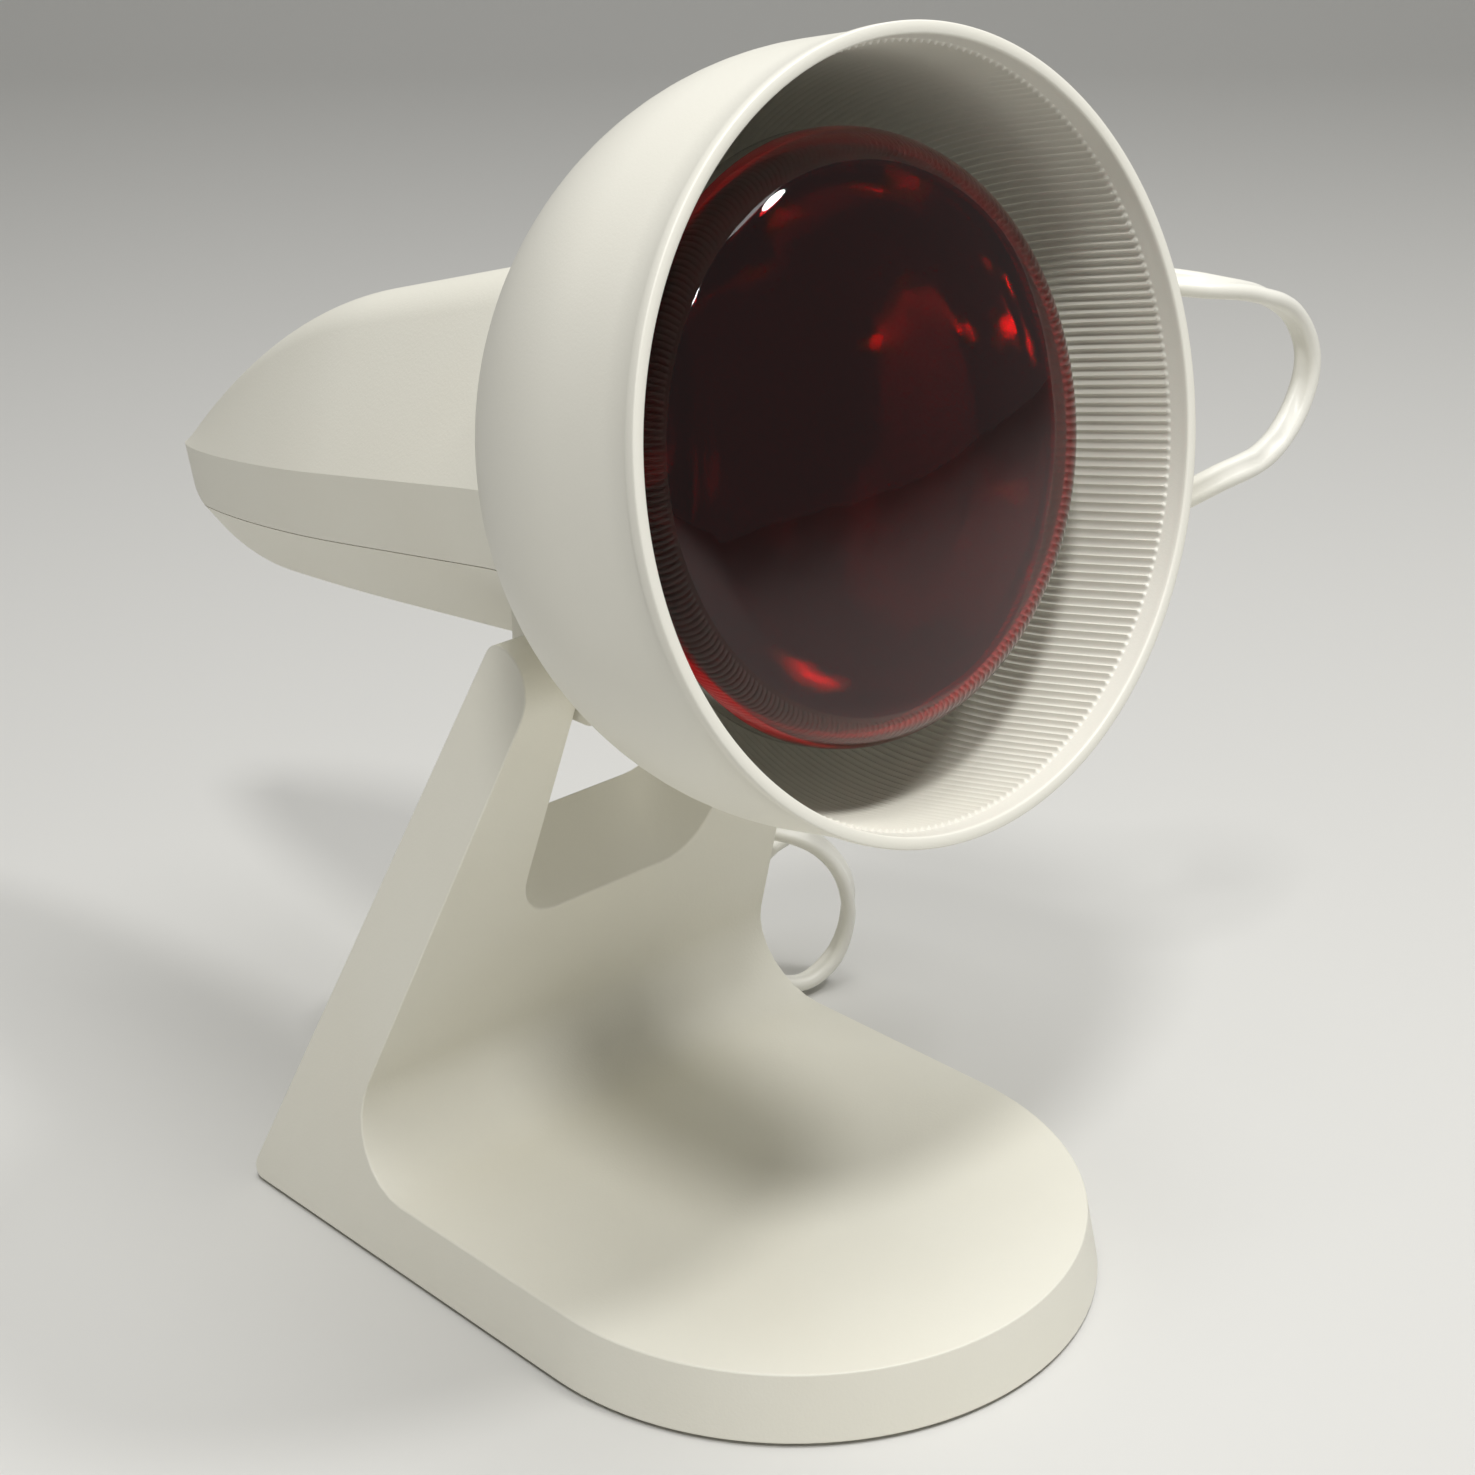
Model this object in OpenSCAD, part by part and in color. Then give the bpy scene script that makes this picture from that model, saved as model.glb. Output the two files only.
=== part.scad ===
// Infrared heat therapy lamp: a tilting bell shade with a tail housing, held on
// a friction hinge between the two arms of a one-piece forked stand.
// Millimetres. +Z up, +X to the right, the lamp shines along -Y.
// The head is built in its own frame: x across, y = a (up, across the beam),
// z = s (distance behind the rim plane), and is then placed on the hinge.

/* [View] */
// Piece to draw

/* [Stand] */
// Width of the base at the desk
base_w = 140; // [130:1:150]
// How much each side leans in, per millimetre of height
draft = 0.1944; // [0.15:0.005:0.24]
// Height of the base's flat top
base_top = 16; // [14:0.5:19]
// Height of the two arm tops
arm_top = 147; // [144:1:150]
// Centre of the base's round nose, along Y
nose_y = -21; // [-26:1:-16]
// Wall of the stand moulding
stand_wall = 2.6; // [2.2:0.1:3.2]
// Fillet between the base top and the leg
leg_fillet = 17; // [12:1:20]
// Half the gap between the two arms
arm_gap = 28.5; // [28.3:0.1:29.5]
// Radius of the rubber feet
foot_r = 7.5; // [6:0.5:8]

/* [Hinge] */
// Height of the hinge pin
pivot_z = 136; // [134:0.5:137]
// Radius of the hinge pin
pin_r = 3; // [2.5:0.1:3.2]
// Radial running clearance of the pin
pin_fit = 0.05; // [0.03:0.01:0.09]
// How deep each arm is bored for the pin
pin_bore = 8; // [6:0.5:10]
// Half the width of the hinge block
block_half = 27; // [26:0.1:27.1]
// Lean of the head at rest, downwards
tilt = 11.8; // [8:0.1:14]

/* [Shade] */
// Radius of the bell's straight skirt
skirt_r = 76.4; // [75:0.2:78]
// Depth of the straight skirt
skirt_s = 22.5; // [20:0.5:26]
// Radius of the bell's shoulder
shoulder_r = 65; // [63:1:67]
// Wall of the bell
shade_wall = 2.2; // [1.8:0.1:2.4]
// Radius of the bell at its neck, where the holder's bracket stands
neck_r = 30.3; // [29.6:0.1:31]

/* [Tail] */
// Length from the rim plane to the tip of the tail
tail_len = 268; // [262:1:274]
// Half the width of the tail at the bell
tail_half = 37; // [36:0.5:38]
// Height of the tail's ridge above the beam axis
ridge_top = 40; // [39:0.5:41]
// Wall of the tail shells
tail_wall = 2; // [1.8:0.1:2.1]

/* [Bulb] */
// Widest radius of the reflector bulb
bulb_r = 60; // [58:0.5:61]
// Radius of the bulb's cap
cap_r = 13.2; // [13:0.1:13.3]
// Radius of the holder's bore
holder_bore = 13.9; // [13.8:0.1:14.2]

/* [Cord] */
// Width of the flat twin lead
cord_w = 6.2; // [5.8:0.1:6.4]
// Thickness of the flat twin lead
cord_t = 3.8; // [3.5:0.1:4]

/* [Hidden] */
eps = 0.3;
// Height of the cord's exit at the back of the leg
gland_z = 40;
// How far the sleeve reaches out along the lead, and the play of its slot round the lead
sleeve_end = 22;
slot_play = 1.2;
// The bell, drawn as [r, s]: skirt, shoulder arc, then a cone on which r + s stays
// the same. What sits behind the bell is drawn for a neck at neck_ref.
shoulder_c = skirt_r - shoulder_r;
cone_sum = skirt_s + shoulder_c + shoulder_r * sqrt(2);
neck_s = cone_sum - neck_r;
neck_ref = 95.5;
behind = neck_s - neck_ref;
// Clearance between the tail's front edge and the bell, as a change of r + s
bell_gap = 0.5;
// The hinge pin seen from the head: its distance behind the rim, and below the beam
head_s = neck_s - 1;
head_a = -45.8;
// The stand seen from the side: lean of the leg's two faces
front_0 = 66.5;
front_k = 0.393;
back_0 = 91.9;
back_k = 0.445;
pivot_y = leg_front(pivot_z) + 9.3;
// The bounding box of the lamp without its cord is centred on Y
nose_front = nose_y - base_w / 2;
tip_back = pivot_y + (tail_len - head_s) * cos(tilt) + (-6 - head_a) * sin(tilt);
shift_y = -(nose_front + tip_back) / 2;
shell_z = 1;
plate_z = 2.6;
notch_lean = 35.8;
notch_z = 72.4;
notch_y = leg_front(notch_z);
gland_tilt = atan(back_k);

// ---- shared functions ----
function leg_front(z) = front_0 - front_k * z;
function leg_back(z) = back_0 - back_k * z;
function hw(z) = base_w / 2 - draft * z;
function unit(v) = v / norm(v);

// Points of the arc that rounds corner p between neighbours a and b
function arc_corner(a, p, b, r, n) =
  let (u = unit(a - p), v = unit(b - p), h = acos(u * v) / 2)
  let (c = p + unit(u + v) * r / sin(h), s = p + u * r / tan(h), e = p + v * r / tan(h))
  let (a0 = atan2(s[1] - c[1], s[0] - c[0]), a1 = atan2(e[1] - c[1], e[0] - c[0]))
  let (d = (a1 - a0 + 540) % 360 - 180)
  [for (i = [0:n]) c + r * [cos(a0 + d * i / n), sin(a0 + d * i / n)]];

// Polygon whose corners [x, y, r] are rounded by their own radius
function round_poly(q, n = 8) = [
  for (i = [0:len(q) - 1])
    let (k = len(q), a = q[(i + k - 1) % k], p = q[i], b = q[(i + 1) % k])
    each p[2] > 0
      ? arc_corner([a[0], a[1]], [p[0], p[1]], [b[0], b[1]], p[2], n)
      : [[p[0], p[1]]]
];

// ---- placing ----
module placed() {
  translate([0, shift_y, 0])
    children();
}

module on_head() {
  translate([0, pivot_y + shift_y, pivot_z])
    rotate([90 + tilt, 0, 180])
      translate([0, -head_a, -head_s])
        children();
}

module on_neck() {
  on_head()
    translate([0, 0, behind])
      children();
}

// The profile is drawn as [y, z] and runs across X
module across(half) {
  rotate([90, 0, 90])
    translate([0, 0, -half])
      linear_extrude(2 * half)
        children();
}

// The body that every side face of the stand follows: drafted flat sides
// and a cone of the same draft round the front
module drafted(inset, z0, z1) {
  w0 = hw(z0) - inset;
  w1 = hw(z1) - inset;
  translate([0, back_0 + 8, 0])
    rotate([90, 0, 0])
      linear_extrude(back_0 + 8 - nose_y)
        polygon([[-w0, z0], [w0, z0], [w1, z1], [-w1, z1]]);
  intersection() {
    translate([0, nose_y, z0])
      cylinder(h = z1 - z0, r1 = w0, r2 = w1, $fn = 96);
    translate([-100, nose_y - 100, z0 - 1])
      cube([200, 100, z1 - z0 + 2]);
  }
}

// ---- stand ----
boss_at = [[-48, -40], [48, -40], [-52, 46], [52, 46]];
foot_at = [[-36, -58], [36, -58], [-54, 70], [54, 70]];
rear_in = leg_back(0) - stand_wall - 4;

module stand_outline() {
  polygon(round_poly([
    [nose_front - 5, shell_z, 0],
    [leg_back(shell_z), shell_z, 3],
    [leg_back(arm_top), arm_top, 4],
    [leg_front(arm_top), arm_top, 10],
    [leg_front(base_top), base_top, leg_fillet],
    [nose_front - 5, base_top, 0]
  ]));
}

module stand_cavity() {
  top = base_top - stand_wall;
  f = stand_wall * 1.08;
  b = stand_wall * 1.1;
  polygon([
    [nose_front - 20, -1],
    [rear_in, -1],
    [rear_in, (back_0 - b - rear_in) / back_k],
    [leg_back(notch_z + 11) - b, notch_z + 11],
    [leg_front(notch_z - 7) + f, notch_z - 7],
    [leg_front(top + leg_fillet * 0.7) + f, top + leg_fillet * 0.7],
    [leg_front(top) - leg_fillet * 0.55, top],
    [nose_front - 20, top]
  ]);
}

module notch_cut() {
  translate([0, notch_y, notch_z])
    rotate([180 - notch_lean, 0, 0])
      translate([0, 0, -80])
        linear_extrude(96)
          polygon(round_poly([
            [-arm_gap, 120, 0], [-arm_gap, 0, 12], [arm_gap, 0, 12], [arm_gap, 120, 0]
          ]));
}

module gland_frame() {
  translate([0, leg_back(gland_z), gland_z])
    rotate([gland_tilt - 90, 0, 0])
      children();
}

module stand_shell() {
  color("#eceae0")
    placed()
      difference() {
        union() {
          difference() {
            intersection() {
              drafted(0, 0, arm_top + 2);
              across(90) stand_outline();
            }
            intersection() {
              drafted(stand_wall, -1, arm_top + 2);
              across(90) stand_cavity();
            }
          }
          for (p = boss_at)
            translate([p[0], p[1], plate_z + 2.3])
              cylinder(h = base_top - stand_wall - plate_z - 1.8, r = 4, $fn = 32);
        }
        notch_cut();
        // bores for the hinge pin, blind in each arm
        translate([-arm_gap - pin_bore, pivot_y, pivot_z])
          rotate([0, 90, 0])
            cylinder(h = 2 * (arm_gap + pin_bore), r = pin_r + pin_fit, $fn = 48);
        // pilot holes for the base screws
        for (p = boss_at)
          translate([p[0], p[1], plate_z + 2])
            cylinder(h = 7, r = 1.3, $fn = 24);
        // hole for the cord gland
        gland_frame()
          translate([0, 0, -9])
            cylinder(h = 18, r = 5.3, $fn = 32);
      }
}

module base_plate() {
  color("#d9d7cf")
    placed()
      difference() {
        intersection() {
          drafted(stand_wall + eps, plate_z, plate_z + 2);
          translate([-100, nose_front - 5, plate_z])
            cube([200, rear_in - eps - nose_front + 5, 2]);
        }
        for (p = boss_at)
          translate([p[0], p[1], plate_z - 1])
            cylinder(h = 4, r = 1.8, $fn = 24);
      }
}

module base_screws() {
  color("#8f9296")
    placed()
      for (p = boss_at)
        translate([p[0], p[1], 0]) {
          difference() {
            translate([0, 0, plate_z - 1.5])
              cylinder(h = 1.5, r = 3, $fn = 32);
            translate([-2, -0.4, plate_z - 2])
              cube([4, 0.8, 1.2]);
            translate([-0.4, -2, plate_z - 2])
              cube([0.8, 4, 1.2]);
          }
          translate([0, 0, plate_z])
            cylinder(h = 7, r = 1.25, $fn = 24);
        }
}

module rubber_feet() {
  color("#3a3a3a")
    placed()
      for (p = foot_at)
        translate([p[0], p[1], 0])
          rotate_extrude($fn = 48)
            polygon([[0, 0], [foot_r - 0.8, 0], [foot_r, 0.8], [foot_r, plate_z], [0, plate_z]]);
}

module cord_gland() {
  slot_w = cord_w + slot_play;
  slot_t = cord_t + slot_play;
  color("#f2f0ea")
    placed()
      gland_frame()
        difference() {
          rotate_extrude($fn = 48)
            polygon([
              [0, -8], [5.9, -8], [5.9, -6.4], [5, -5.6], [5, 0],
              [7.4, 0], [7.4, 1.4], [6.6, 2.2], [5, 2.6], [4.3, sleeve_end], [0, sleeve_end]
            ]);
          translate([0, 0, -9])
            linear_extrude(36)
              polygon(round_poly([
                [-slot_w / 2, -slot_t / 2, 1.7], [slot_w / 2, -slot_t / 2, 1.7],
                [slot_w / 2, slot_t / 2, 1.7], [-slot_w / 2, slot_t / 2, 1.7]
              ], 3));
        }
}

module hinge_pin() {
  color("#b9bcc0")
    placed()
      translate([-(arm_gap + pin_bore - 0.4), pivot_y, pivot_z])
        rotate([0, 90, 0])
          cylinder(h = 2 * (arm_gap + pin_bore - 0.4), r = pin_r, $fn = 48);
}

module friction_washers() {
  color("#5b5d60")
    placed()
      for (m = [-1, 1])
        translate([m * (arm_gap + block_half + eps) / 2, pivot_y, pivot_z])
          rotate([0, 90, 0])
            difference() {
              cylinder(h = arm_gap - block_half - eps, r = 7, center = true, $fn = 48);
              cylinder(h = 4, r = pin_r + pin_fit, center = true, $fn = 48);
            }
}

// ---- bell shade, drawn as [r, s] ----
collar_r = 25.2;
collar_end = neck_s + 5.5;

function shoulder(d, n) = [
  for (i = [0:n])
    [shoulder_c + (shoulder_r - d) * cos(45 * i / n), skirt_s + (shoulder_r - d) * sin(45 * i / n)]
];
function reversed(v) = [for (i = [len(v) - 1:-1:0]) v[i]];

module shade() {
  w = shade_wall;
  inner_end = neck_s - w;
  color("#e9ebea")
    on_head() {
      rotate_extrude($fn = 120)
        polygon(concat(
          [[skirt_r - w, 1.2], [skirt_r - w + 0.6, 0.3], [skirt_r - 0.2, 0], [skirt_r + 0.4, 0.4]],
          [[skirt_r + 0.6, 1.2], [skirt_r + 0.5, 2.4], [skirt_r, 3.4]],
          shoulder(0, 10),
          [[neck_r, neck_s], [collar_r + 2, neck_s], [collar_r + 2, collar_end], [collar_r, collar_end]],
          [[collar_r, inner_end], [cone_sum - w * sqrt(2) - inner_end, inner_end]],
          reversed(shoulder(w, 10))
        ));
      // screw pads for the holder bracket on both sides of the collar
      for (m = [-1, 1])
        difference() {
          translate([m > 0 ? 22 : -28, -17, neck_s - 1])
            cube([6, 10, 10.5]);
          translate([0, 0, neck_s - 5])
            cylinder(h = 20, r = collar_r, $fn = 96);
          translate([m * 24, -12, neck_s + 4.5])
            rotate([0, m * 90, 0])
              cylinder(h = 6, r = 1.3, $fn = 24);
        }
    }
}

// ---- tail housing: lofted shells, the section given across the beam ----
function tu(s) = max(0, (s - 165) / (tail_len - 165));
function tv(s) = max(0, (s - 215) / (tail_len - 215));
function flare(s) = s < 104 ? pow((104 - s) / 16, 2) * 0.9 : 0;
function t_half(s) = (tail_half - 0.10 * (s - 92)) * pow(1 - tu(s) * tu(s), 0.6) + flare(s);
function t_top(s) = -1 + (ridge_top + 1 - 0.07 * (s - 92)) * (1 - tu(s) * tu(s)) + flare(s);
function t_bot(s) = -8 - (34 - 0.085 * (s - 92)) * sqrt(max(0, 1 - tv(s) * tv(s)));
function c1(s) = -3 + 0.012 * (s - 92);
function c2(s) = max(-21 + 0.03 * (s - 92), t_bot(s) * 0.72);
function between(p, q, n) = [for (i = [1:n]) p + (q - p) * i / n];

// Upper half section from the ridge, down the flat roof, to the parting crease
function roof_half(s, d) =
  let (b = t_half(s) - d, top = t_top(s) - d, r = 0.45 * b, cy = top - r)
  let (dx = b, dy = c1(s) - cy, q = norm([dx, dy]), g = atan2(dy, dx) + acos(min(1, r / q)))
  let (arc = [for (i = [0:4]) [r * sin((90 - g) * i / 4), cy + r * cos((90 - g) * i / 4)]])
  concat(
    arc,
    between(arc[4], [b, c1(s)], 4),
    between([b, c1(s)], [0.92 * t_half(s) - d, c2(s)], 2)
  );

// Lower half section from the parting crease, down the facet, to the flat bottom
function keel_half(s, d, g) =
  let (b = t_half(s), p = [0.92 * b - d, c2(s) - g], q = [0.5 * b - 0.4 * d, t_bot(s) + d])
  concat([p], between(p, q, 3), between(q, [0, t_bot(s) + d], 2));

// The whole run of points, anticlockwise from one crease to the other
function roof_run(s, d) =
  let (h = roof_half(s, d), n = len(h))
  concat([for (i = [n - 1:-1:1]) h[i]], [for (i = [0:n - 1]) [-h[i][0], h[i][1]]]);
function keel_run(s, d, g) =
  let (h = keel_half(s, d, g), n = len(h))
  concat([for (i = [0:n - 1]) [-h[i][0], h[i][1]]], [for (i = [n - 2:-1:0]) h[i]]);
function run(up, s, d) = up ? roof_run(s, d) : keel_run(s, d, 0.2);

// Each point's own start, where the section meets the bell's cone
function meet(up, j, s, d, k) =
  k == 0 ? s : meet(up, j, max(76, cone_sum + bell_gap - norm(run(up, s, d)[j])), d, k - 1);
function front_ring(up, d) = [
  for (j = [0:len(run(up, 100, d)) - 1])
    let (s = meet(up, j, 92, d, 4), p = run(up, s, d)[j])
    [p[0], p[1], s]
];
function ring_at(up, s, d) = [for (p = run(up, s, d)) [p[0], p[1], s]];

tail_levels = [106, 118, 142, 165, 180, 195, 208, 220, 231, 241, 249, 256, 261.5, 265.2, 267.4];
nose_in = 263;

// One open shell: outer skin, inner skin, two seam edges, and a closed nose
module tail_skin(up, w) {
  outer = concat([front_ring(up, 0)], [for (s = tail_levels) ring_at(up, s, 0)]);
  inner = concat(
    [front_ring(up, w)],
    [for (i = [0:len(tail_levels) - 1]) ring_at(up, min(tail_levels[i], nose_in - 3 * (1 - i / 14)), w)]
  );
  n = len(outer[0]);
  k = len(outer);
  m = n * k;
  polyhedron(
    points = concat([for (r = outer) each r], [for (r = inner) each r]),
    faces = concat(
      [for (j = [0:k - 2]) for (i = [0:n - 2])
        each [[j * n + i, (j + 1) * n + i, (j + 1) * n + i + 1],
              [j * n + i, (j + 1) * n + i + 1, j * n + i + 1]]],
      [for (j = [0:k - 2]) for (i = [0:n - 2])
        each [[m + j * n + i, m + (j + 1) * n + i + 1, m + (j + 1) * n + i],
              [m + j * n + i, m + j * n + i + 1, m + (j + 1) * n + i + 1]]],
      // front edge
      [for (i = [0:n - 2])
        each [[i, i + 1, m + i + 1], [i, m + i + 1, m + i]]],
      // seam edges
      [for (j = [0:k - 2])
        each [[j * n, m + (j + 1) * n, (j + 1) * n], [j * n, m + j * n, m + (j + 1) * n]]],
      [for (j = [0:k - 2])
        let (e = n - 1)
        each [[j * n + e, (j + 1) * n + e, m + (j + 1) * n + e],
              [j * n + e, m + (j + 1) * n + e, m + j * n + e]]],
      // nose
      [for (i = [1:n - 2]) [(k - 1) * n, (k - 1) * n + i + 1, (k - 1) * n + i]],
      [for (i = [1:n - 2]) [m + (k - 1) * n, m + (k - 1) * n + i, m + (k - 1) * n + i + 1]],
      [[(k - 1) * n, m + (k - 1) * n + n - 1, (k - 1) * n + n - 1],
       [(k - 1) * n, m + (k - 1) * n, m + (k - 1) * n + n - 1]]
    ),
    convexity = 8
  );
}

module bell_cone(g) {
  translate([0, 0, 60])
    cylinder(h = neck_s + g - 60, r1 = cone_sum + g * 1.42 - 60, r2 = cone_sum + g * 0.42 - neck_s, $fn = 96);
}

// Posts on the middle line, where the two shells are screwed together
post_at = [176 + behind, 226];
// Where the holder's bracket is screwed up into the roof, and the block into the keel
tab_s = 150 + behind;
block_s = neck_s + 12;
module up_post(s, a0, a1, r) {
  translate([0, a0, s])
    rotate([-90, 0, 0])
      cylinder(h = a1 - a0, r = r, $fn = 24);
}

module tail_shell() {
  color("#eceae0")
    on_head()
      difference() {
        union() {
          tail_skin(true, tail_wall);
          for (s = post_at)
            up_post(s, c2(s), t_top(s) - tail_wall / 2, 3.4);
          up_post(tab_s, 24.6, t_top(tab_s) - tail_wall / 2, 3.4);
        }
        for (s = post_at)
          up_post(s, c2(s) - 1, c2(s) + 14, 1.3);
        up_post(tab_s, 24, 34, 1.3);
      }
}

module tail_cover() {
  color("#e6e4da")
    on_head()
      difference() {
        union() {
          tail_skin(false, tail_wall);
          for (s = post_at)
            up_post(s, t_bot(s) + tail_wall / 2, c2(s) - 0.2, 4.6);
          // pads inside, over the hinge screws
          for (m = [-1, 1])
            translate([m * 9, 0, 0])
              up_post(block_s, t_bot(block_s) + tail_wall / 2, -34, 4);
        }
        for (s = post_at) {
          up_post(s, t_bot(s) - 4, 0, 1.7);
          up_post(s, t_bot(s) - 4, c2(s) - 5, 3.2);
        }
        for (m = [-1, 1])
          translate([m * 9, 0, 0])
            up_post(block_s, -50, -35.2, 1.3);
      }
}

module pan_screw(head_r, head_h, shank_r, shank_l) {
  // head at the origin, shank along +Z
  difference() {
    translate([0, 0, -head_h])
      cylinder(h = head_h, r = head_r, $fn = 32);
    translate([-head_r * 0.6, -0.4, -head_h - 0.5])
      cube([head_r * 1.2, 0.8, 1.3]);
    translate([-0.4, -head_r * 0.6, -head_h - 0.5])
      cube([0.8, head_r * 1.2, 1.3]);
  }
  cylinder(h = shank_l, r = shank_r, $fn = 24);
}

module tail_screws() {
  color("#9a9da1")
    on_head()
      for (s = post_at)
        translate([0, c2(s) - 5, s])
          rotate([-90, 0, 0])
            pan_screw(2.9, 1.8, 1.25, 15);
}

// ---- hinge block under the neck ----
module keel_clear(g) {
  polygon([
    [-34.6 - g, 60], [-34.6 - g, 21.1], [-18.7 - g, 0],
    [18.7 + g, 0], [34.6 + g, 21.1], [34.6 + g, 60]
  ]);
}

module hinge_block() {
  color("#e4e2d8")
    difference() {
      placed()
        difference() {
          across(block_half)
            polygon(round_poly([
              [pivot_y - 13, pivot_z - 8, 4], [pivot_y + 14.5, pivot_z - 8, 4],
              [pivot_y + 14.5, pivot_z + 22, 0], [pivot_y - 13, pivot_z + 22, 0]
            ], 6));
          // pocket between the two cheeks, open below
          translate([-block_half + 4, pivot_y - 9, pivot_z - 20])
            cube([2 * block_half - 8, 16.5, 60]);
          translate([-40, pivot_y, pivot_z])
            rotate([0, 90, 0])
              cylinder(h = 80, r = pin_r + pin_fit, $fn = 48);
        }
      // the top follows the neck and the bell, a little clear of both
      on_head() {
        translate([0, -42.3, 92])
          rotate([-4.86, 0, 0])
            translate([0, 0, -40])
              linear_extrude(90)
                keel_clear(0);
        // the keel flares out where it meets the bell
        translate([0, -42.3, 92])
          rotate([-4.86, 0, 0])
            translate([0, 0, -40])
              linear_extrude(43.5)
                keel_clear(1.9);
        bell_cone(0.4);
        for (m = [-1, 1])
          translate([m * 9, -35, block_s])
            rotate([90, 0, 0]) {
              cylinder(h = 40, r = 1.7, $fn = 24);
              translate([0, 0, 13])
                cylinder(h = 40, r = 3.2, $fn = 24);
            }
      }
    }
}

module hinge_screws() {
  color("#9a9da1")
    on_head()
      for (m = [-1, 1])
        translate([m * 9, -48, block_s])
          rotate([-90, 0, 0])
            pan_screw(2.9, 1.8, 1.25, 11);
}

// ---- lamp holder and what carries it ----
module lamp_holder() {
  color("#f4f3ee")
    on_neck()
      difference() {
        rotate_extrude($fn = 72)
          polygon([
            [holder_bore + 2.8, 113], [20, 113], [22, 114.5], [22, 134], [20.6, 135.4],
            [20.6, 154], [18.6, 158], [0, 158], [0, 148.5], [holder_bore, 148.5],
            [holder_bore, 120], [holder_bore + 0.4, 118]
          ]);
        for (m = [-1, 1])
          translate([m * 6, 8, 150])
            cylinder(h = 12, r = 1.5, $fn = 24);
      }
}

module holder_contact() {
  color("#c9a24a")
    on_neck()
      difference() {
        translate([-4, -9, 146.2])
          cube([8, 18, 2.3]);
        translate([-5, -6, 146.9])
          cube([10, 16, 0.9]);
      }
}

module holder_bracket() {
  color("#b4b7ba")
    on_neck() {
      // sheet strap, seen along a
      translate([0, -6, 0])
        rotate([90, 0, 0])
          difference() {
            linear_extrude(12)
              polygon([
                [28.1, 95.8], [29.6, 95.8], [29.6, 108], [24.6, 150], [24.6, 160.5],
                [-24.6, 160.5], [-24.6, 150], [-29.6, 108], [-29.6, 95.8], [-28.1, 95.8],
                [-28.1, 108], [-23.1, 150], [-23.1, 159], [23.1, 159], [23.1, 150], [28.1, 108]
              ]);
            translate([-40, 100, 6])
              rotate([0, 90, 0])
                cylinder(h = 80, r = 1.7, $fn = 24);
          }
      difference() {
        union() {
          translate([-11, -6, 159])
            cube([22, 30.5, 1.5]);
          translate([-8, 23, 143])
            cube([16, 1.5, 17.5]);
        }
        for (m = [-1, 1])
          translate([m * 6, 8, 150])
            cylinder(h = 20, r = 1.9, $fn = 24);
        translate([0, 20, 150])
          rotate([-90, 0, 0])
            cylinder(h = 9, r = 1.7, $fn = 24);
      }
    }
}

module holder_screws() {
  color("#9a9da1")
    on_neck() {
      for (m = [-1, 1])
        translate([m * 29.6, -12, 100])
          rotate([0, -m * 90, 0])
            pan_screw(2.6, 1.5, 1.25, 4.2);
      translate([0, 23, 150])
        rotate([-90, 0, 0])
          pan_screw(2.9, 1.8, 1.25, 8);
    }
}

module terminal_block() {
  color("#e8e6de")
    on_neck()
      difference() {
        translate([-11, -16, 160.6])
          cube([22, 12, 11]);
        for (m = [-1, 1])
          translate([m * 6, -3, 166.2])
            rotate([90, 0, 0])
              cylinder(h = 8, r = 1.6, $fn = 24);
      }
}

module holder_leads() {
  color("#b8322a")
    on_neck()
      for (m = [-1, 1])
        translate([m * 6, 0, 0]) {
          translate([0, 8, 155])
            cylinder(h = 8.2, r = 1.1, $fn = 20);
          translate([0, 5, 163.2])
            rotate([0, -90, 0])
              rotate_extrude(angle = 90, $fn = 32)
                translate([3, 0])
                  circle(r = 1.1, $fn = 20);
          translate([0, 5, 166.2])
            rotate([90, 0, 0])
              cylinder(h = 13, r = 1.1, $fn = 20);
        }
}

// ---- bulb, drawn as [r, s] ----
// The face is one smooth dome: a wide arc that runs on into the rounded edge
face_edge = 13;
face_round = 220;
face_rim_s = 24;
edge_r = bulb_r - face_edge;
face_s = face_rim_s + sqrt(pow(face_round - face_edge, 2) - edge_r * edge_r) - face_round;
face_turn = asin(edge_r / (face_round - face_edge));
function face(d) = concat(
  [for (i = [0:5])
    let (t = face_turn * i / 5)
    [(face_round - d) * sin(t), face_s + face_round - (face_round - d) * cos(t)]],
  [for (i = [1:6])
    let (t = face_turn + (90 - face_turn) * i / 6)
    [edge_r + (face_edge - d) * sin(t), face_rim_s - (face_edge - d) * cos(t)]]
);

module bulb_lens() {
  color("#9c1414")
    on_neck()
      rotate_extrude($fn = 96)
        polygon(concat(face(0), reversed(face(3))));
}

module bulb_bowl() {
  r = bulb_r;
  color("#c9cbcc")
    on_neck()
      rotate_extrude($fn = 96)
        polygon([
          [r, 24.1], [r, 28], [r - 2.4, 36], [r - 6, 44], [r - 10, 50], [r - 16, 60],
          [r - 22, 72], [r - 28, 80.5], [r - 33, 88],
          [24, 95], [21.6, 101], [18.6, 107], [15.4, 112], [13.4, 117.6],
          [10.9, 117.6], [13, 111.4], [16.4, 106.2], [19.4, 100.2], [21.6, 94], [24.6, 87.4],
          [r - 30.5, 79.3], [r - 24.4, 70.8], [r - 18.4, 58.8], [r - 12.3, 48.7], [r - 8.2, 42.7],
          [r - 4.8, 35], [r - 2.5, 28], [r - 2.5, 24.1]
        ]);
}

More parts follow.
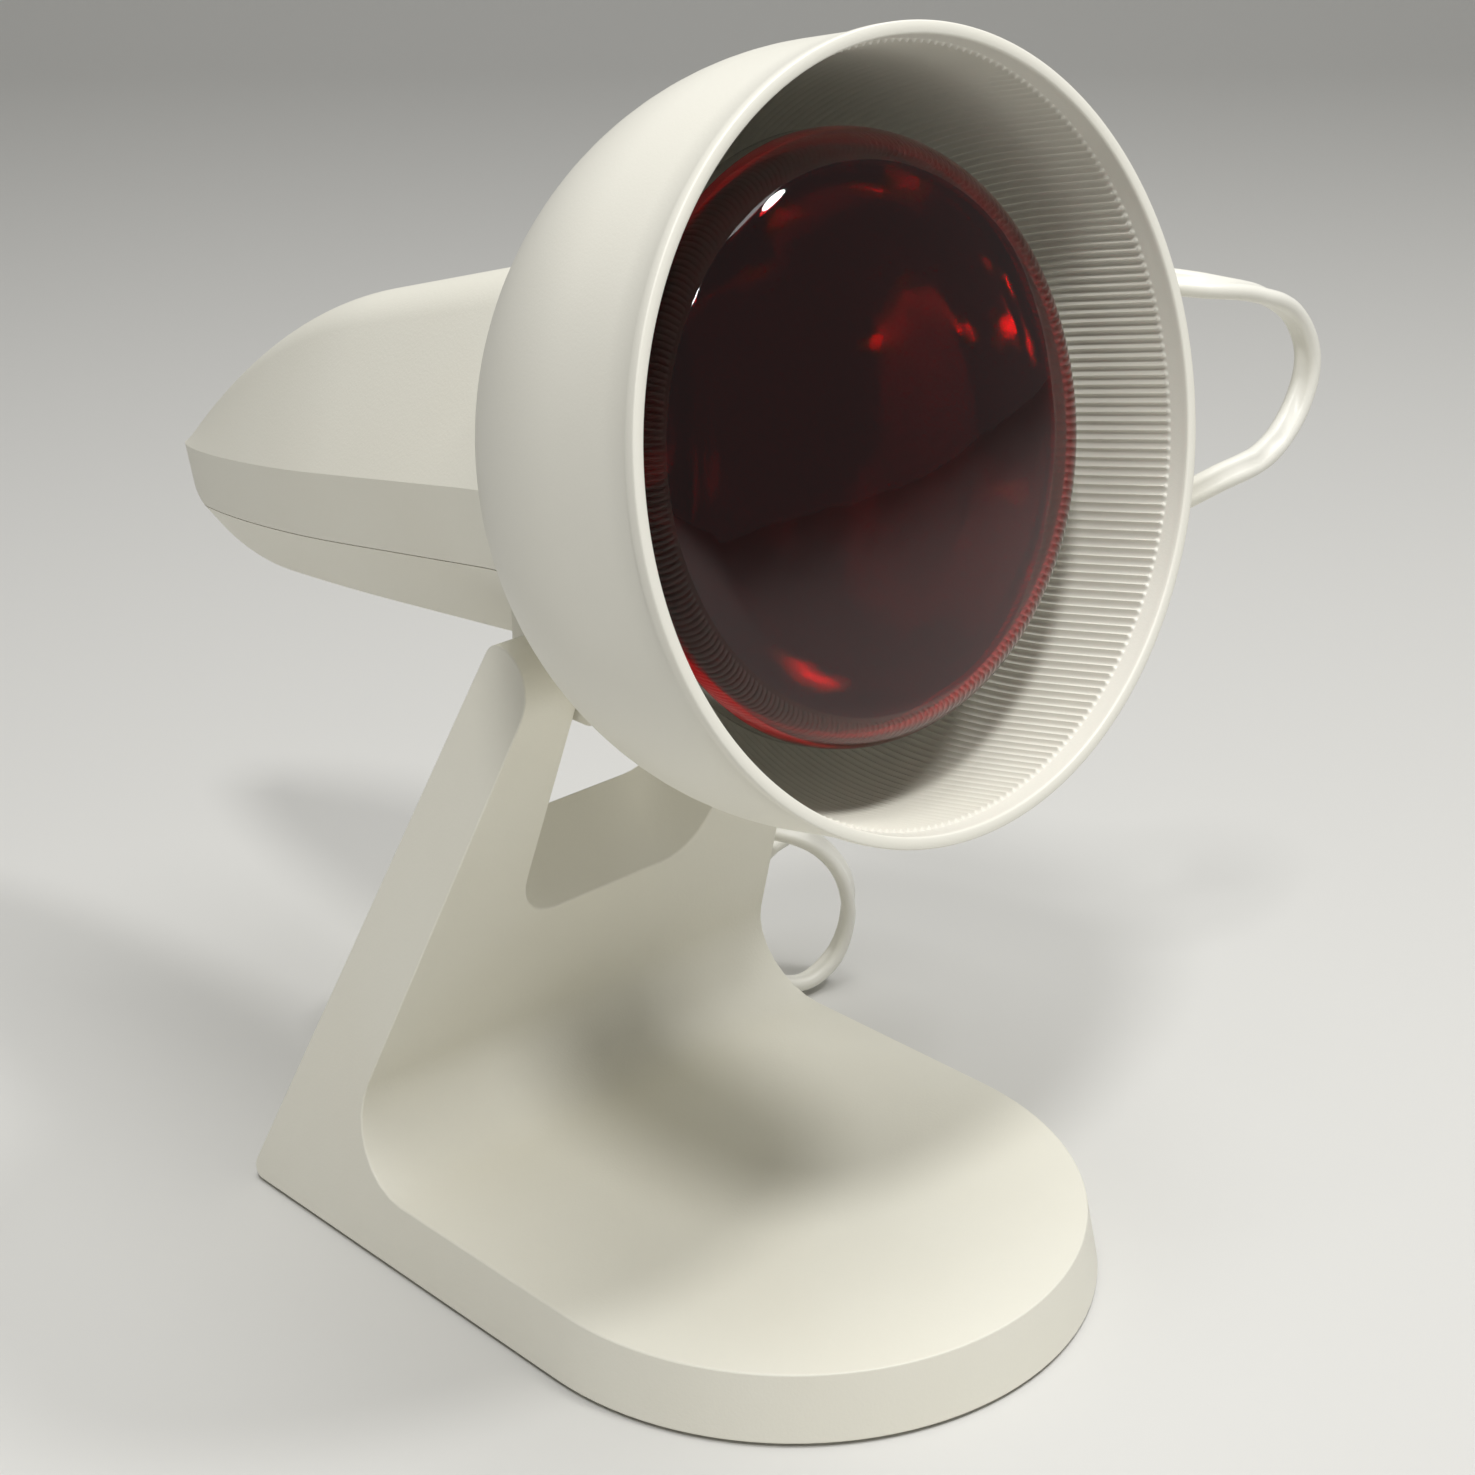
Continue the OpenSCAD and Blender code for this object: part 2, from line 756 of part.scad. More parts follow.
module bulb_cap() {
  color("#c4b98c")
    on_neck()
      rotate_extrude($fn = 72)
        polygon(concat(
          [[0, 117.8], [cap_r + 0.4, 117.8], [cap_r + 0.4, 119.6], [cap_r, 120.2]],
          [for (i = [0:5]) each [
            [cap_r - 0.9, 121.2 + 3.4 * i], [cap_r, 122.3 + 3.4 * i],
            [cap_r, 123.5 + 3.4 * i], [cap_r - 0.9, 124.5 + 3.4 * i]
          ]],
          [[11, 142.6], [6, 144.2], [0, 144.2]]
        ));
}

module bulb_tip() {
  color("#b9bcc0")
    on_neck()
      rotate_extrude($fn = 48)
        polygon([[0, 144.3], [5, 144.3], [4.2, 145.4], [2.4, 145.9], [0, 145.9]]);
}

// ---- cord: one flat twin lead, from the gland to the coil and the plug ----
function cr(p0, p1, p2, p3, t) = 0.5 * (
  2 * p1 + (p2 - p0) * t + (2 * p0 - 5 * p1 + 4 * p2 - p3) * t * t
  + (3 * p1 - p0 - 3 * p2 + p3) * t * t * t
);
function spline(q, m) = [
  for (i = [0:len(q) - 2]) for (j = [0:m - 1])
    cr(q[max(0, i - 1)], q[i], q[i + 1], q[min(len(q) - 1, i + 2)], j / m),
  q[len(q) - 1]
];
function tangent(q, i) = unit(q[min(len(q) - 1, i + 1)] - q[max(0, i - 1)]);
// Side vector of each ring, along the lead's width. It is carried on from ring to ring,
// and in a bend it turns towards the bend's axis, since a flat lead bends on its flat.
function turned(v, b, g) = b * v < 0 ? v - g * b : v + g * b;
function bend(q, i) = cross(tangent(q, i), tangent(q, i + 1));
function sides(q, s0, last) = [
  for (i = 0, v = unit(s0 - (s0 * tangent(q, 0)) * tangent(q, 0)); i < len(q);
       i = i + 1,
       w = i < len(q) - 1 ? turned(v, bend(q, i), 2) + last * max(0, i + 7 - len(q)) * 0.4 : v,
       v = i < len(q) ? unit(w - (w * tangent(q, i)) * tangent(q, i)) : v)
    v
];
function lead_section(n) = n == 6
  ? [[0.5, 0.22], [0, 0.5], [-0.5, 0.22], [-0.5, -0.22], [0, -0.5], [0.5, -0.22]]
  : [[0.5, 0.16], [0.3, 0.5], [0, 0.34], [-0.3, 0.5], [-0.5, 0.16],
     [-0.5, -0.16], [-0.3, -0.5], [0, -0.34], [0.3, -0.5], [0.5, -0.16]];

// Tube of n sides through the rings: w along the side vector, t across it
module lead(q, side, n) {
  k = len(q);
  m = len(lead_section(n));
  polyhedron(
    points = [
      for (i = [0:k - 1])
        let (u = side[i], v = cross(tangent(q, i), u))
        for (c = lead_section(n))
          q[i] + u * c[0] * cord_w + v * c[1] * cord_t
    ],
    faces = concat(
      [[for (i = [m - 1:-1:0]) i]],
      [for (j = [0:k - 2]) for (i = [0:m - 1])
        for (t = [0, 1])
          let (i2 = (i + 1) % m)
          t == 0
            ? [j * m + i, j * m + i2, (j + 1) * m + i2]
            : [j * m + i, (j + 1) * m + i2, (j + 1) * m + i]],
      [[for (i = [0:m - 1]) (k - 1) * m + i]]
    ),
    convexity = 10
  );
}

gy = leg_back(gland_z);
gn = [0, cos(gland_tilt), sin(gland_tilt)];
g0 = [0, gy, gland_z];
coil_c = [66, 142];
coil_r = 33;
coil_turns = 6;
coil_pitch = cord_t + 0.6;
coil_in = coil_r - coil_pitch * (coil_turns / 2);
coil_z0 = cord_w / 2 + 1.3;
coil_z1 = coil_z0 + cord_w + 0.7;

run_points = [
  g0 - 12 * gn, g0 + 3 * gn, g0 + 18 * gn, g0 + 31 * gn,
  [5, 112, 54.2], [17, 118, 50.5], [31, 117, 45], [47, 110, 42], [66, 98, 43],
  [81, 81, 46], [92, 66, 44], [99, 59, 35], [102, 58, 22], [98.5, 59, 9.5], [88, 61, 3.6],
  [77.5, 65, 7.8], [74, 70, 18.5], [78, 74.5, 29], [88.5, 77, 35.5], [100, 75, 41],
  [109, 69, 52], [113, 60, 68], [112, 46, 90], [106, 20, 115], [100, -13, 141],
  [99, -36, 157], [106, -48, 166], [119, -51.5, 170], [130.5, -51, 178], [134.5, -50.5, 189],
  [129, -49.5, 199.5], [117, -48.5, 206], [103, -44, 209.5], [92, -33, 211], [86, -17, 209],
  [83, 6, 202], [82, 34, 188], [81, 60, 164], [83, 78, 134], [87, 86, 102], [89, 90, 70],
  [92, 95, 42], [97, 106, 19], [98.6, 121, 7], [99, 132, 4.2],
  [coil_c[0] + coil_r, coil_c[1], coil_z0]
];
run_q = spline(run_points, 2);

coil_n = 24;
// It winds in, climbs a layer in the half turn where the spiral reverses, where it also
// dips inwards to pass its neighbours, and winds out again
coil_dip = 2.4;
function eased(t) = let (c = min(1, max(0, t))) c * c * (3 - 2 * c);
coil_q = [
  for (i = [0:coil_turns * coil_n])
    let (f = i / coil_n, k = f - coil_turns / 2)
    let (r = coil_in + coil_pitch * abs(k) - coil_dip * (1 - eased(abs(k) / 0.45)))
    [coil_c[0] + r * cos(360 * f), coil_c[1] + r * sin(360 * f),
     coil_z0 + (coil_z1 - coil_z0) * eased((k + 0.25) / 0.5)]
];
plug_at = [coil_c[0], coil_c[1] - 25, coil_z1 + cord_w / 2 + eps + 6.8];
function over_coil(r, f, z) = [coil_c[0] + r * cos(f), coil_c[1] + r * sin(f), z];
end_points = [
  coil_q[len(coil_q) - 1],
  over_coil(34.1, 20, coil_z1 + 0.3),
  over_coil(34.9, 40, coil_z1 + 1),
  over_coil(35.4, 80, coil_z1 + 3.2),
  over_coil(35.2, 120, coil_z1 + 6.8),
  over_coil(34, 160, plug_at[2] - 1),
  over_coil(31.5, 190, plug_at[2]),
  plug_at + [-31, 6, 0],
  plug_at + [-30.5, -5, 0],
  plug_at + [-25.5, -14, 0],
  plug_at + [-15.5, -18, 0],
  plug_at + [-5.5, -14, 0],
  plug_at + [-0.5, -5, 0],
  plug_at + [0, 0.5, 0]
];
end_q = spline(end_points, 2);
coil_all = concat(coil_q, [for (i = [1:len(end_q) - 1]) end_q[i]]);

// Least gap between stretches of the coiled lead that are over half a turn apart
coil_gap = min([
  for (i = [0:len(coil_all) - 15]) for (j = [i + 14:len(coil_all) - 1])
    let (d = coil_all[i] - coil_all[j], flat = norm([d[0], d[1]]))
    max(abs(d[2]) - cord_w, flat - cord_t)
]);
echo(coil_gap = coil_gap);
function path_len(q) =
  let (steps = [for (i = [1:len(q) - 1]) norm(q[i] - q[i - 1])])
  steps * [for (step = steps) 1];
echo(cord_length = path_len(run_q) + path_len(coil_all));

module cord_run() {
  color("#f0efe9")
    placed()
      lead(run_q, sides(run_q, [1, 0, 0], [0, 0, 1]), 10);
}

module cord_coil() {
  color("#f0efe9")
    placed()
      lead(coil_all, sides(coil_all, [0, 0, 1], [0, 0, 0]), 6);
}

module cord_tie() {
  half = (coil_r - coil_in + cord_t) / 2 + 0.6;
  top = coil_z1 + cord_w / 2 + 0.2;
  color("#3c3d3f")
    placed()
      translate([coil_c[0] - (coil_r + coil_in) / 2, coil_c[1], 0])
        rotate([90, 0, 0])
          difference() {
            translate([-half - 1.1, 0, -3])
              cube([2 * half + 2.2, top + 1.1, 6]);
            translate([-half, 1.1, -4])
              cube([2 * half, top - 1.1, 8]);
          }
}

module plug_body() {
  color("#f2f1ec")
    placed()
      translate(plug_at)
        difference() {
          rotate([-90, 0, 0])
            linear_extrude(36)
              polygon(round_poly([
                [-17.5, -3, 3], [-10, -6.8, 3], [10, -6.8, 3], [17.5, -3, 3],
                [17.5, 3, 3], [10, 6.8, 3], [-10, 6.8, 3], [-17.5, 3, 3]
              ], 4));
          // grip hollows at the cord end, both sides
          for (m = [-1, 1])
            translate([m * 24, -1, -10])
              cylinder(h = 20, r = 12, $fn = 48);
        }
}

module plug_pins() {
  color("#c9ccd0")
    placed()
      for (m = [-1, 1])
        translate([plug_at[0] + m * 9.3, plug_at[1] + 36, plug_at[2]])
          rotate([-90, 0, 0])
            rotate_extrude($fn = 32)
              polygon([[0, 0], [1.9, 0], [1.9, 9], [2, 9.4], [2, 18], [1.2, 19], [0, 19]]);
}

stand_shell();
base_plate();
base_screws();
rubber_feet();
cord_gland();
hinge_pin();
friction_washers();
cord_run();
cord_coil();
cord_tie();
plug_body();
plug_pins();
shade();
tail_shell();
tail_cover();
tail_screws();
hinge_block();
hinge_screws();
lamp_holder();
holder_contact();
holder_bracket();
holder_screws();
terminal_block();
holder_leads();
bulb_lens();
bulb_bowl();
bulb_cap();
bulb_tip();
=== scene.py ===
import math

import bmesh
import bpy
import numpy as np
from mathutils import Matrix, Vector


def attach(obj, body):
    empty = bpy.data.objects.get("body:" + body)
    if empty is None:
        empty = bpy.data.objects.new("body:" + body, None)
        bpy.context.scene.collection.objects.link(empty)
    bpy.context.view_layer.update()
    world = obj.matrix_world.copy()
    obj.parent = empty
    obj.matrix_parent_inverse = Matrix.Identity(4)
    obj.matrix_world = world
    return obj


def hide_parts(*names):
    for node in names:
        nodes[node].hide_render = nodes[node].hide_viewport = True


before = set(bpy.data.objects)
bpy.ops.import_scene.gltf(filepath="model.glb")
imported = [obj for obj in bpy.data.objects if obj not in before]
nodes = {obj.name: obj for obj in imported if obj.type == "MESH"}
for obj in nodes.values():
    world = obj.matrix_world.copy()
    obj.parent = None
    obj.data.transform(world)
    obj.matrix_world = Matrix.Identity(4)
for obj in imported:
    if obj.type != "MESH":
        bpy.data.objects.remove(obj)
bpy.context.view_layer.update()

# ---------------------------------------------------------------- the stand
# One injection moulding in satin white plastic: a flat base with a round nose, and a
# leaning leg that forks into two arms. Every side leans in by the draft that lets the
# part leave its mould, and every outer edge has a small radius.
MM = 0.001
STAND_EDGE = 1.2                      # radius of the stand's edges
EDGE_FACES = 3                        # faces across a rounded edge
EDGE_TURN = 30                        # degrees: an edge that turns more gets its radius
SHARP_TURN = 35                       # degrees: an edge that turns more is shaded sharp
FLAT_TURN = 0.6                       # degrees: faces that differ by less become one
AGED_MM = 27.8                        # size of the patches in which a tint changes


def linear(code):
    """The hex sRGB colour as linear red, green, blue and alpha 1: each channel c goes
    to c/12.92 below 0.04045, and to ((c + 0.055) / 1.055) ** 2.4 above."""
    c = np.array([int(code[i:i + 2], 16) / 255 for i in (1, 3, 5)])
    c = np.where(c <= 0.04045, c / 12.92, ((c + 0.055) / 1.055) ** 2.4)
    return (float(c[0]), float(c[1]), float(c[2]), 1.0)


def patches(size_mm):
    """The noise scale, in cells per metre, for patches of size_mm: each cell holds a
    light and a dark patch, so it is 1000 over twice the size."""
    return 500.0 / size_mm


def add(material, kind, links=None, **settings):
    """One shader node: settings go on the node, links on its sockets by name or number.
    A link value that is itself a socket is wired, any other value is set. A colour Mix
    node has its two colours on sockets 6 and 7, and the mixed colour on output 2."""
    node = material.node_tree.nodes.new(kind)
    for key, value in settings.items():
        setattr(node, key, value)
    for key, value in (links or {}).items():
        socket = node.inputs[key]
        if isinstance(value, bpy.types.NodeSocket):
            material.node_tree.links.new(value, socket)
        else:
            socket.default_value = value
    return node


def wire(material, out, socket):
    """Joins an output socket to an input socket."""
    material.node_tree.links.new(out, socket)


def finish_named(name):
    """A new material with its output node, and the shader node that feeds it."""
    material = bpy.data.materials.new(name)
    material.use_nodes = True
    material.node_tree.nodes.clear()
    shader = add(material, "ShaderNodeBsdfPrincipled")
    add(material, "ShaderNodeOutputMaterial", {"Surface": shader.outputs[0]})
    return material, shader


def moulded_plastic(name, pale, deep, grain_mm, rough, bump):
    """Moulded plastic or glazed ware: a grain of grain_mm in the bump and in the gloss,
    which runs from rough - 0.05 to rough + 0.06, and a slow change of tint over a few
    centimetres, from pale to deep, where the surface has aged."""
    material, shader = finish_named(name)
    place = add(material, "ShaderNodeTexCoord").outputs["Object"]
    slow = add(material, "ShaderNodeTexNoise",
               {"Vector": place, "Scale": patches(AGED_MM), "Detail": 3.0})
    tint = add(material, "ShaderNodeMix",
               {"Factor": slow.outputs[0], 6: linear(deep), 7: linear(pale)}, data_type="RGBA")
    grain = add(material, "ShaderNodeTexNoise",
                {"Vector": place, "Scale": patches(grain_mm), "Detail": 2.0, "Roughness": 0.6})
    gloss = add(material, "ShaderNodeMapRange",
                {"Value": grain.outputs[0], "From Min": 0.3, "From Max": 0.7,
                 "To Min": rough - 0.05, "To Max": rough + 0.06})
    relief = add(material, "ShaderNodeBump",
                 {"Height": grain.outputs[0], "Strength": bump, "Distance": 0.12 * MM})
    wire(material, tint.outputs[2], shader.inputs["Base Color"])
    wire(material, gloss.outputs[0], shader.inputs["Roughness"])
    wire(material, relief.outputs[0], shader.inputs["Normal"])
    shader.inputs["IOR"].default_value = 1.5
    shader.inputs["Specular IOR Level"].default_value = 0.42
    return material


def rounded_copy(node, name, radius_mm):
    """The CAD solid with its doubles merged and its flat faces joined, and a rounding
    of radius_mm along every edge that turns by more than EDGE_TURN."""
    mesh = nodes[node].data.copy()
    piece = bpy.data.objects.new(name, mesh)
    bpy.context.scene.collection.objects.link(piece)
    shape = bmesh.new()
    shape.from_mesh(mesh)
    bmesh.ops.remove_doubles(shape, verts=shape.verts, dist=0.002 * MM)
    bmesh.ops.dissolve_limit(shape, angle_limit=math.radians(FLAT_TURN),
                             verts=shape.verts, edges=shape.edges)
    shape.to_mesh(mesh)
    shape.free()
    mesh.shade_smooth()
    mesh.set_sharp_from_angle(angle=math.radians(SHARP_TURN))
    bevel = piece.modifiers.new("edge radius", "BEVEL")
    bevel.width = radius_mm * MM
    bevel.segments = EDGE_FACES
    bevel.limit_method = "ANGLE"
    bevel.angle_limit = math.radians(EDGE_TURN)
    bevel.use_clamp_overlap = True
    weighted = piece.modifiers.new("flat faces stay flat", "WEIGHTED_NORMAL")
    weighted.keep_sharp = True
    weighted.weight = 100
    return piece


def dress(piece, material, slot, body, *stands_for):
    """Gives the piece its material and its body, and hides the CAD nodes that it replaces. The slot,
    the name of this finish, is not used."""
    piece.data.materials.clear()
    piece.data.materials.append(material)
    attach(piece, body)
    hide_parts(*stands_for)


# ABS from a spark-eroded mould gives a warm white satin: highlights are broad and soft,
# with no mirror image. A real grain is about 0.1 mm, and is drawn coarser to show.
white_moulding = moulded_plastic("satin white ABS, spark-eroded mould", "#F2F0E4", "#ECE8D9",
                                 grain_mm=0.35, rough=0.44, bump=0.35)
dress(rounded_copy("stand_shell", "stand_moulding", STAND_EDGE), white_moulding,
      "white_plastic", "stand", "stand_shell")

# ------------------------------------------------- what closes the stand below
# A cut grey polystyrene board closes the hollow of the stand, on four pan-head screws.
# Four moulded rubber feet carry the lamp.


def recolour(node, material):
    """Puts a material on a CAD solid that keeps its own shape."""
    part = nodes[node]
    part.data.materials.clear()
    part.data.materials.append(material)


# Rolled polystyrene sheet is duller and greyer than the mouldings, with a faint grain.
board = moulded_plastic("grey polystyrene sheet", "#D5D3CB", "#CBC8BE",
                        grain_mm=0.5, rough=0.6, bump=0.3)
recolour("base_plate", board)

BRIGHT_METAL = "#DADCDD"              # what a rubbed patch of any of the metals looks like


def smooth_metal(name, colour, rough, streak_mm):
    """Plated, drawn or rolled metal: a fine mottle of streak_mm mixes the colour with a
    rubbed one, and moves the gloss from rough - 0.1 to rough + 0.12."""
    material, shader = finish_named(name)
    place = add(material, "ShaderNodeTexCoord").outputs["Object"]
    mottle = add(material, "ShaderNodeTexNoise",
                 {"Vector": place, "Scale": patches(streak_mm), "Detail": 4.0})
    gloss = add(material, "ShaderNodeMapRange",
                {"Value": mottle.outputs[0], "To Min": rough - 0.1, "To Max": rough + 0.12})
    tint = add(material, "ShaderNodeMix",
               {"Factor": mottle.outputs[0], 6: linear(colour), 7: linear(BRIGHT_METAL)},
               data_type="RGBA")
    wire(material, gloss.outputs[0], shader.inputs["Roughness"])
    wire(material, tint.outputs[2], shader.inputs["Base Color"])
    shader.inputs["Metallic"].default_value = 1.0
    return material


# Zinc plate gives a small screw a cool grey shine that is uneven from patch to patch.
screw_zinc = smooth_metal("zinc-plated screw", "#A9ACB0", rough=0.34, streak_mm=0.8)
for screws in ("base_screws", "tail_screws", "hinge_screws", "holder_screws"):
    recolour(screws, screw_zinc)

SCUFF_MM = 1.92                       # size of the scuffs on rubber


def matt_moulding(name, dark, worn, rough):
    """Moulded rubber, silicone or pressed fibre: matt, mixed from dark to worn by scuffs
    of SCUFF_MM, which also stand up a little in the bump."""
    material, shader = finish_named(name)
    place = add(material, "ShaderNodeTexCoord").outputs["Object"]
    scuff = add(material, "ShaderNodeTexNoise",
                {"Vector": place, "Scale": patches(SCUFF_MM), "Detail": 6.0, "Roughness": 0.7})
    tint = add(material, "ShaderNodeMix",
               {"Factor": scuff.outputs[0], 6: linear(dark), 7: linear(worn)}, data_type="RGBA")
    relief = add(material, "ShaderNodeBump",
                 {"Height": scuff.outputs[0], "Strength": 0.3, "Distance": 0.1 * MM})
    wire(material, tint.outputs[2], shader.inputs["Base Color"])
    wire(material, relief.outputs[0], shader.inputs["Normal"])
    shader.inputs["Roughness"].default_value = rough
    return material


# Moulded rubber takes almost no highlight, and its scuffs are a paler grey.
foot_rubber = matt_moulding("black moulded rubber", "#2C2C2D", "#3D3D3E", rough=0.78)
recolour("rubber_feet", foot_rubber)

# -------------------------------------------------------------- the lead
# Flat twin mains lead in soft white PVC, 6.2 by 3.8 mm with a groove between the two
# cores. It leaves the leg through a tapered gland, rises in the two set loops that the
# reel has left in it, and ends in a coil behind the leg with the plug lying on it.
SHIFT_Y = -54.66                      # centres the lamp along Y, without its lead
LEG_BACK, LEG_BACK_LEAN = 91.9, 0.445  # y of the leg's back face at the desk, and its lean
LEAD_W, LEAD_T = 6.2, 3.8
GLAND_Z = 40.0
gland_lean = math.atan(LEG_BACK_LEAN)
gland_root = np.array([0.0, LEG_BACK - LEG_BACK_LEAN * GLAND_Z, GLAND_Z])
gland_way = np.array([0.0, math.cos(gland_lean), math.sin(gland_lean)])

COIL_X, COIL_Y = 66.0, 142.0
COIL_R, COIL_TURNS = 33.0, 6
TURN_POINTS = 48                      # points in each turn
TURN_GAP = 0.6                        # between neighbouring turns of a layer
LAYER_GAP = 0.7                       # between the lower layer and the upper one
COIL_LIFT = 1.3                       # under the lower layer
CLIMB_TURNS = 0.5                     # the part of a turn in which the lead changes layer
COIL_DIP, DIP_TURNS = 2.4, 0.45       # how far it dips inwards there, and for how long
coil_step = LEAD_T + TURN_GAP
coil_in = COIL_R - coil_step * COIL_TURNS / 2
coil_low = LEAD_W / 2 + COIL_LIFT
coil_high = coil_low + LEAD_W + LAYER_GAP

PLUG_BACK, PLUG_HALF, PLUG_GAP = 25.0, 6.8, 0.3
plug_at = np.array([COIL_X, COIL_Y - PLUG_BACK, coil_high + LEAD_W / 2 + PLUG_GAP + PLUG_HALF])

# the free stretch: the route's points, given one by one as in the solids
run_points = np.array([
    gland_root - 12 * gland_way, gland_root + 3 * gland_way,
    gland_root + 18 * gland_way, gland_root + 31 * gland_way,
    [5, 112, 54.2], [17, 118, 50.5], [31, 117, 45], [47, 110, 42], [66, 98, 43],
    [81, 81, 46], [92, 66, 44], [99, 59, 35], [102, 58, 22], [98.5, 59, 9.5], [88, 61, 3.6],
    [77.5, 65, 7.8], [74, 70, 18.5], [78, 74.5, 29], [88.5, 77, 35.5], [100, 75, 41],
    [109, 69, 52], [113, 60, 68], [112, 46, 90], [106, 20, 115], [100, -13, 141],
    [99, -36, 157], [106, -48, 166], [119, -51.5, 170], [130.5, -51, 178], [134.5, -50.5, 189],
    [129, -49.5, 199.5], [117, -48.5, 206], [103, -44, 209.5], [92, -33, 211], [86, -17, 209],
    [83, 6, 202], [82, 34, 188], [81, 60, 164], [83, 78, 134], [87, 86, 102], [89, 90, 70],
    [92, 95, 42], [97, 106, 19], [98.6, 121, 7], [99, 132, 4.2],
    [COIL_X + COIL_R, COIL_Y, coil_low]], float)
SPAN_STEPS = 8                        # steps between two points of the route


def curve_through(points):
    """A Catmull-Rom curve through the points, SPAN_STEPS steps between each pair: the
    cubic with the chord of the two neighbours, halved, as its slope at each point."""
    p = np.vstack([points[:1], points, points[-1:]])
    t = np.linspace(0, 1, SPAN_STEPS, endpoint=False)[None, :, None]
    p0, p1, p2, p3 = p[:-3, None], p[1:-2, None], p[2:-1, None], p[3:, None]
    c = 0.5 * (2 * p1 + (p2 - p0) * t + (2 * p0 - 5 * p1 + 4 * p2 - p3) * t ** 2
               + (3 * p1 - p0 - 3 * p2 + p3) * t ** 3)
    return np.vstack([c.reshape(-1, 3), points[-1:]])


def eased(t):
    """0 below 0, 1 above 1, and 3 t squared less 2 t cubed between."""
    c = np.clip(t, 0, 1)
    return c * c * (3 - 2 * c)


# The coil winds in, climbs a layer in the half turn where the spiral reverses, where it
# also dips inwards to pass its neighbours, and winds out again.
turns = np.linspace(0, COIL_TURNS, COIL_TURNS * TURN_POINTS + 1)
from_middle = turns - COIL_TURNS / 2
dip = COIL_DIP * (1 - eased(np.abs(from_middle) / DIP_TURNS))
coil_r = coil_in + coil_step * np.abs(from_middle) - dip
climb = eased((from_middle + CLIMB_TURNS / 2) / CLIMB_TURNS)
coil_path = np.stack([COIL_X + coil_r * np.cos(2 * np.pi * turns),
                      COIL_Y + coil_r * np.sin(2 * np.pi * turns),
                      coil_low + (coil_high - coil_low) * climb], 1)


def over_coil(radius, degrees, z):
    """The point at that radius and angle about the coil's middle, at height z."""
    a = math.radians(degrees)
    return [COIL_X + radius * math.cos(a), COIL_Y + radius * math.sin(a), z]


# the last stretch: from the coil's outer turn over its top and into the plug
end_points = np.array([
    coil_path[-1], over_coil(34.1, 20, coil_high + 0.3), over_coil(34.9, 40, coil_high + 1),
    over_coil(35.4, 80, coil_high + 3.2), over_coil(35.2, 120, coil_high + 6.8),
    over_coil(34, 160, plug_at[2] - 1), over_coil(31.5, 190, plug_at[2]),
    plug_at + [-31, 6, 0], plug_at + [-30.5, -5, 0], plug_at + [-25.5, -14, 0],
    plug_at + [-15.5, -18, 0], plug_at + [-5.5, -14, 0], plug_at + [-0.5, -5, 0],
    plug_at + [0, 0.5, 0]], float)
BEND_TURN = 2                         # turn of the flat side in a bend, per sine of the bend
PULL_SPANS, PULL = 3.5, 1.6           # where it is drawn upright before the coil, how hard


def flat_sides(path, first, lift):
    """Way and side vector at each point of a path. The side is carried on from the point
    before without its part along the way, so it is worked out point by point. In a bend
    it turns towards the bend's axis by BEND_TURN times the sine of the bend, and where
    lift is 1 it is drawn upwards more and more over the last PULL_SPANS spans."""
    way = np.gradient(path, axis=0)
    way /= np.linalg.norm(way, axis=1)[:, None]
    axis = np.vstack([np.cross(way[:-1], way[1:]), np.zeros((1, 3))])
    into_pull = np.arange(len(path)) + PULL_SPANS * SPAN_STEPS - len(path)
    pull = PULL * lift * np.maximum(0, into_pull) / SPAN_STEPS ** 2
    side = np.array(first, float)
    out = []
    for t, b, up in zip(way, axis, pull):
        side = side - t * side.dot(t)
        side = side / np.linalg.norm(side)
        out.append(side)
        side = side + BEND_TURN * b * (-1 if b.dot(side) < 0 else 1) + np.array([0, 0, up])
    return way, np.array(out)


run_path = curve_through(run_points)
wound_path = np.vstack([coil_path[:-1], curve_through(end_points)])
run_way, run_side = flat_sides(run_path, (1, 0, 0), 1)
wound_way, wound_side = flat_sides(wound_path, (0, 0, 1), 0)
lead_path = (np.vstack([run_path[:-1], wound_path]) + [0, SHIFT_Y, 0]) * MM
lead_way = np.vstack([run_way[:-1], wound_way])
lead_side = np.vstack([run_side[:-1], wound_side])


def grid_mesh(name, points, around=False, along=False, closing=()):
    """A mesh from an array of points (rows, columns, 3): smooth quads between neighbours,
    closed round the columns and round the rows where asked, and the closing faces, which
    are lists of point numbers and stay flat."""
    rows, cols = points.shape[:2]
    i = np.arange(rows if along else rows - 1)[:, None]
    j = np.arange(cols if around else cols - 1)[None, :]
    i2, j2 = (i + 1) % rows, (j + 1) % cols
    corners = (i * cols + j, i * cols + j2, i2 * cols + j2, i2 * cols + j)
    quads = np.stack(np.broadcast_arrays(*corners), -1).reshape(-1, 4)
    mesh = bpy.data.meshes.new(name)
    mesh.from_pydata(points.reshape(-1, 3).tolist(), [], quads.tolist() + list(closing))
    mesh.polygons.foreach_set("use_smooth", np.arange(len(mesh.polygons)) < len(quads))
    mesh.validate()
    piece = bpy.data.objects.new(name, mesh)
    bpy.context.scene.collection.objects.link(piece)
    return piece


def face_outwards(piece, merge_mm=0):
    """Merges points that are closer than merge_mm, and turns every face outwards."""
    shape = bmesh.new()
    shape.from_mesh(piece.data)
    if merge_mm > 0:
        bmesh.ops.remove_doubles(shape, verts=shape.verts, dist=merge_mm * MM)
    bmesh.ops.recalc_face_normals(shape, faces=shape.faces)
    shape.to_mesh(piece.data)
    shape.free()


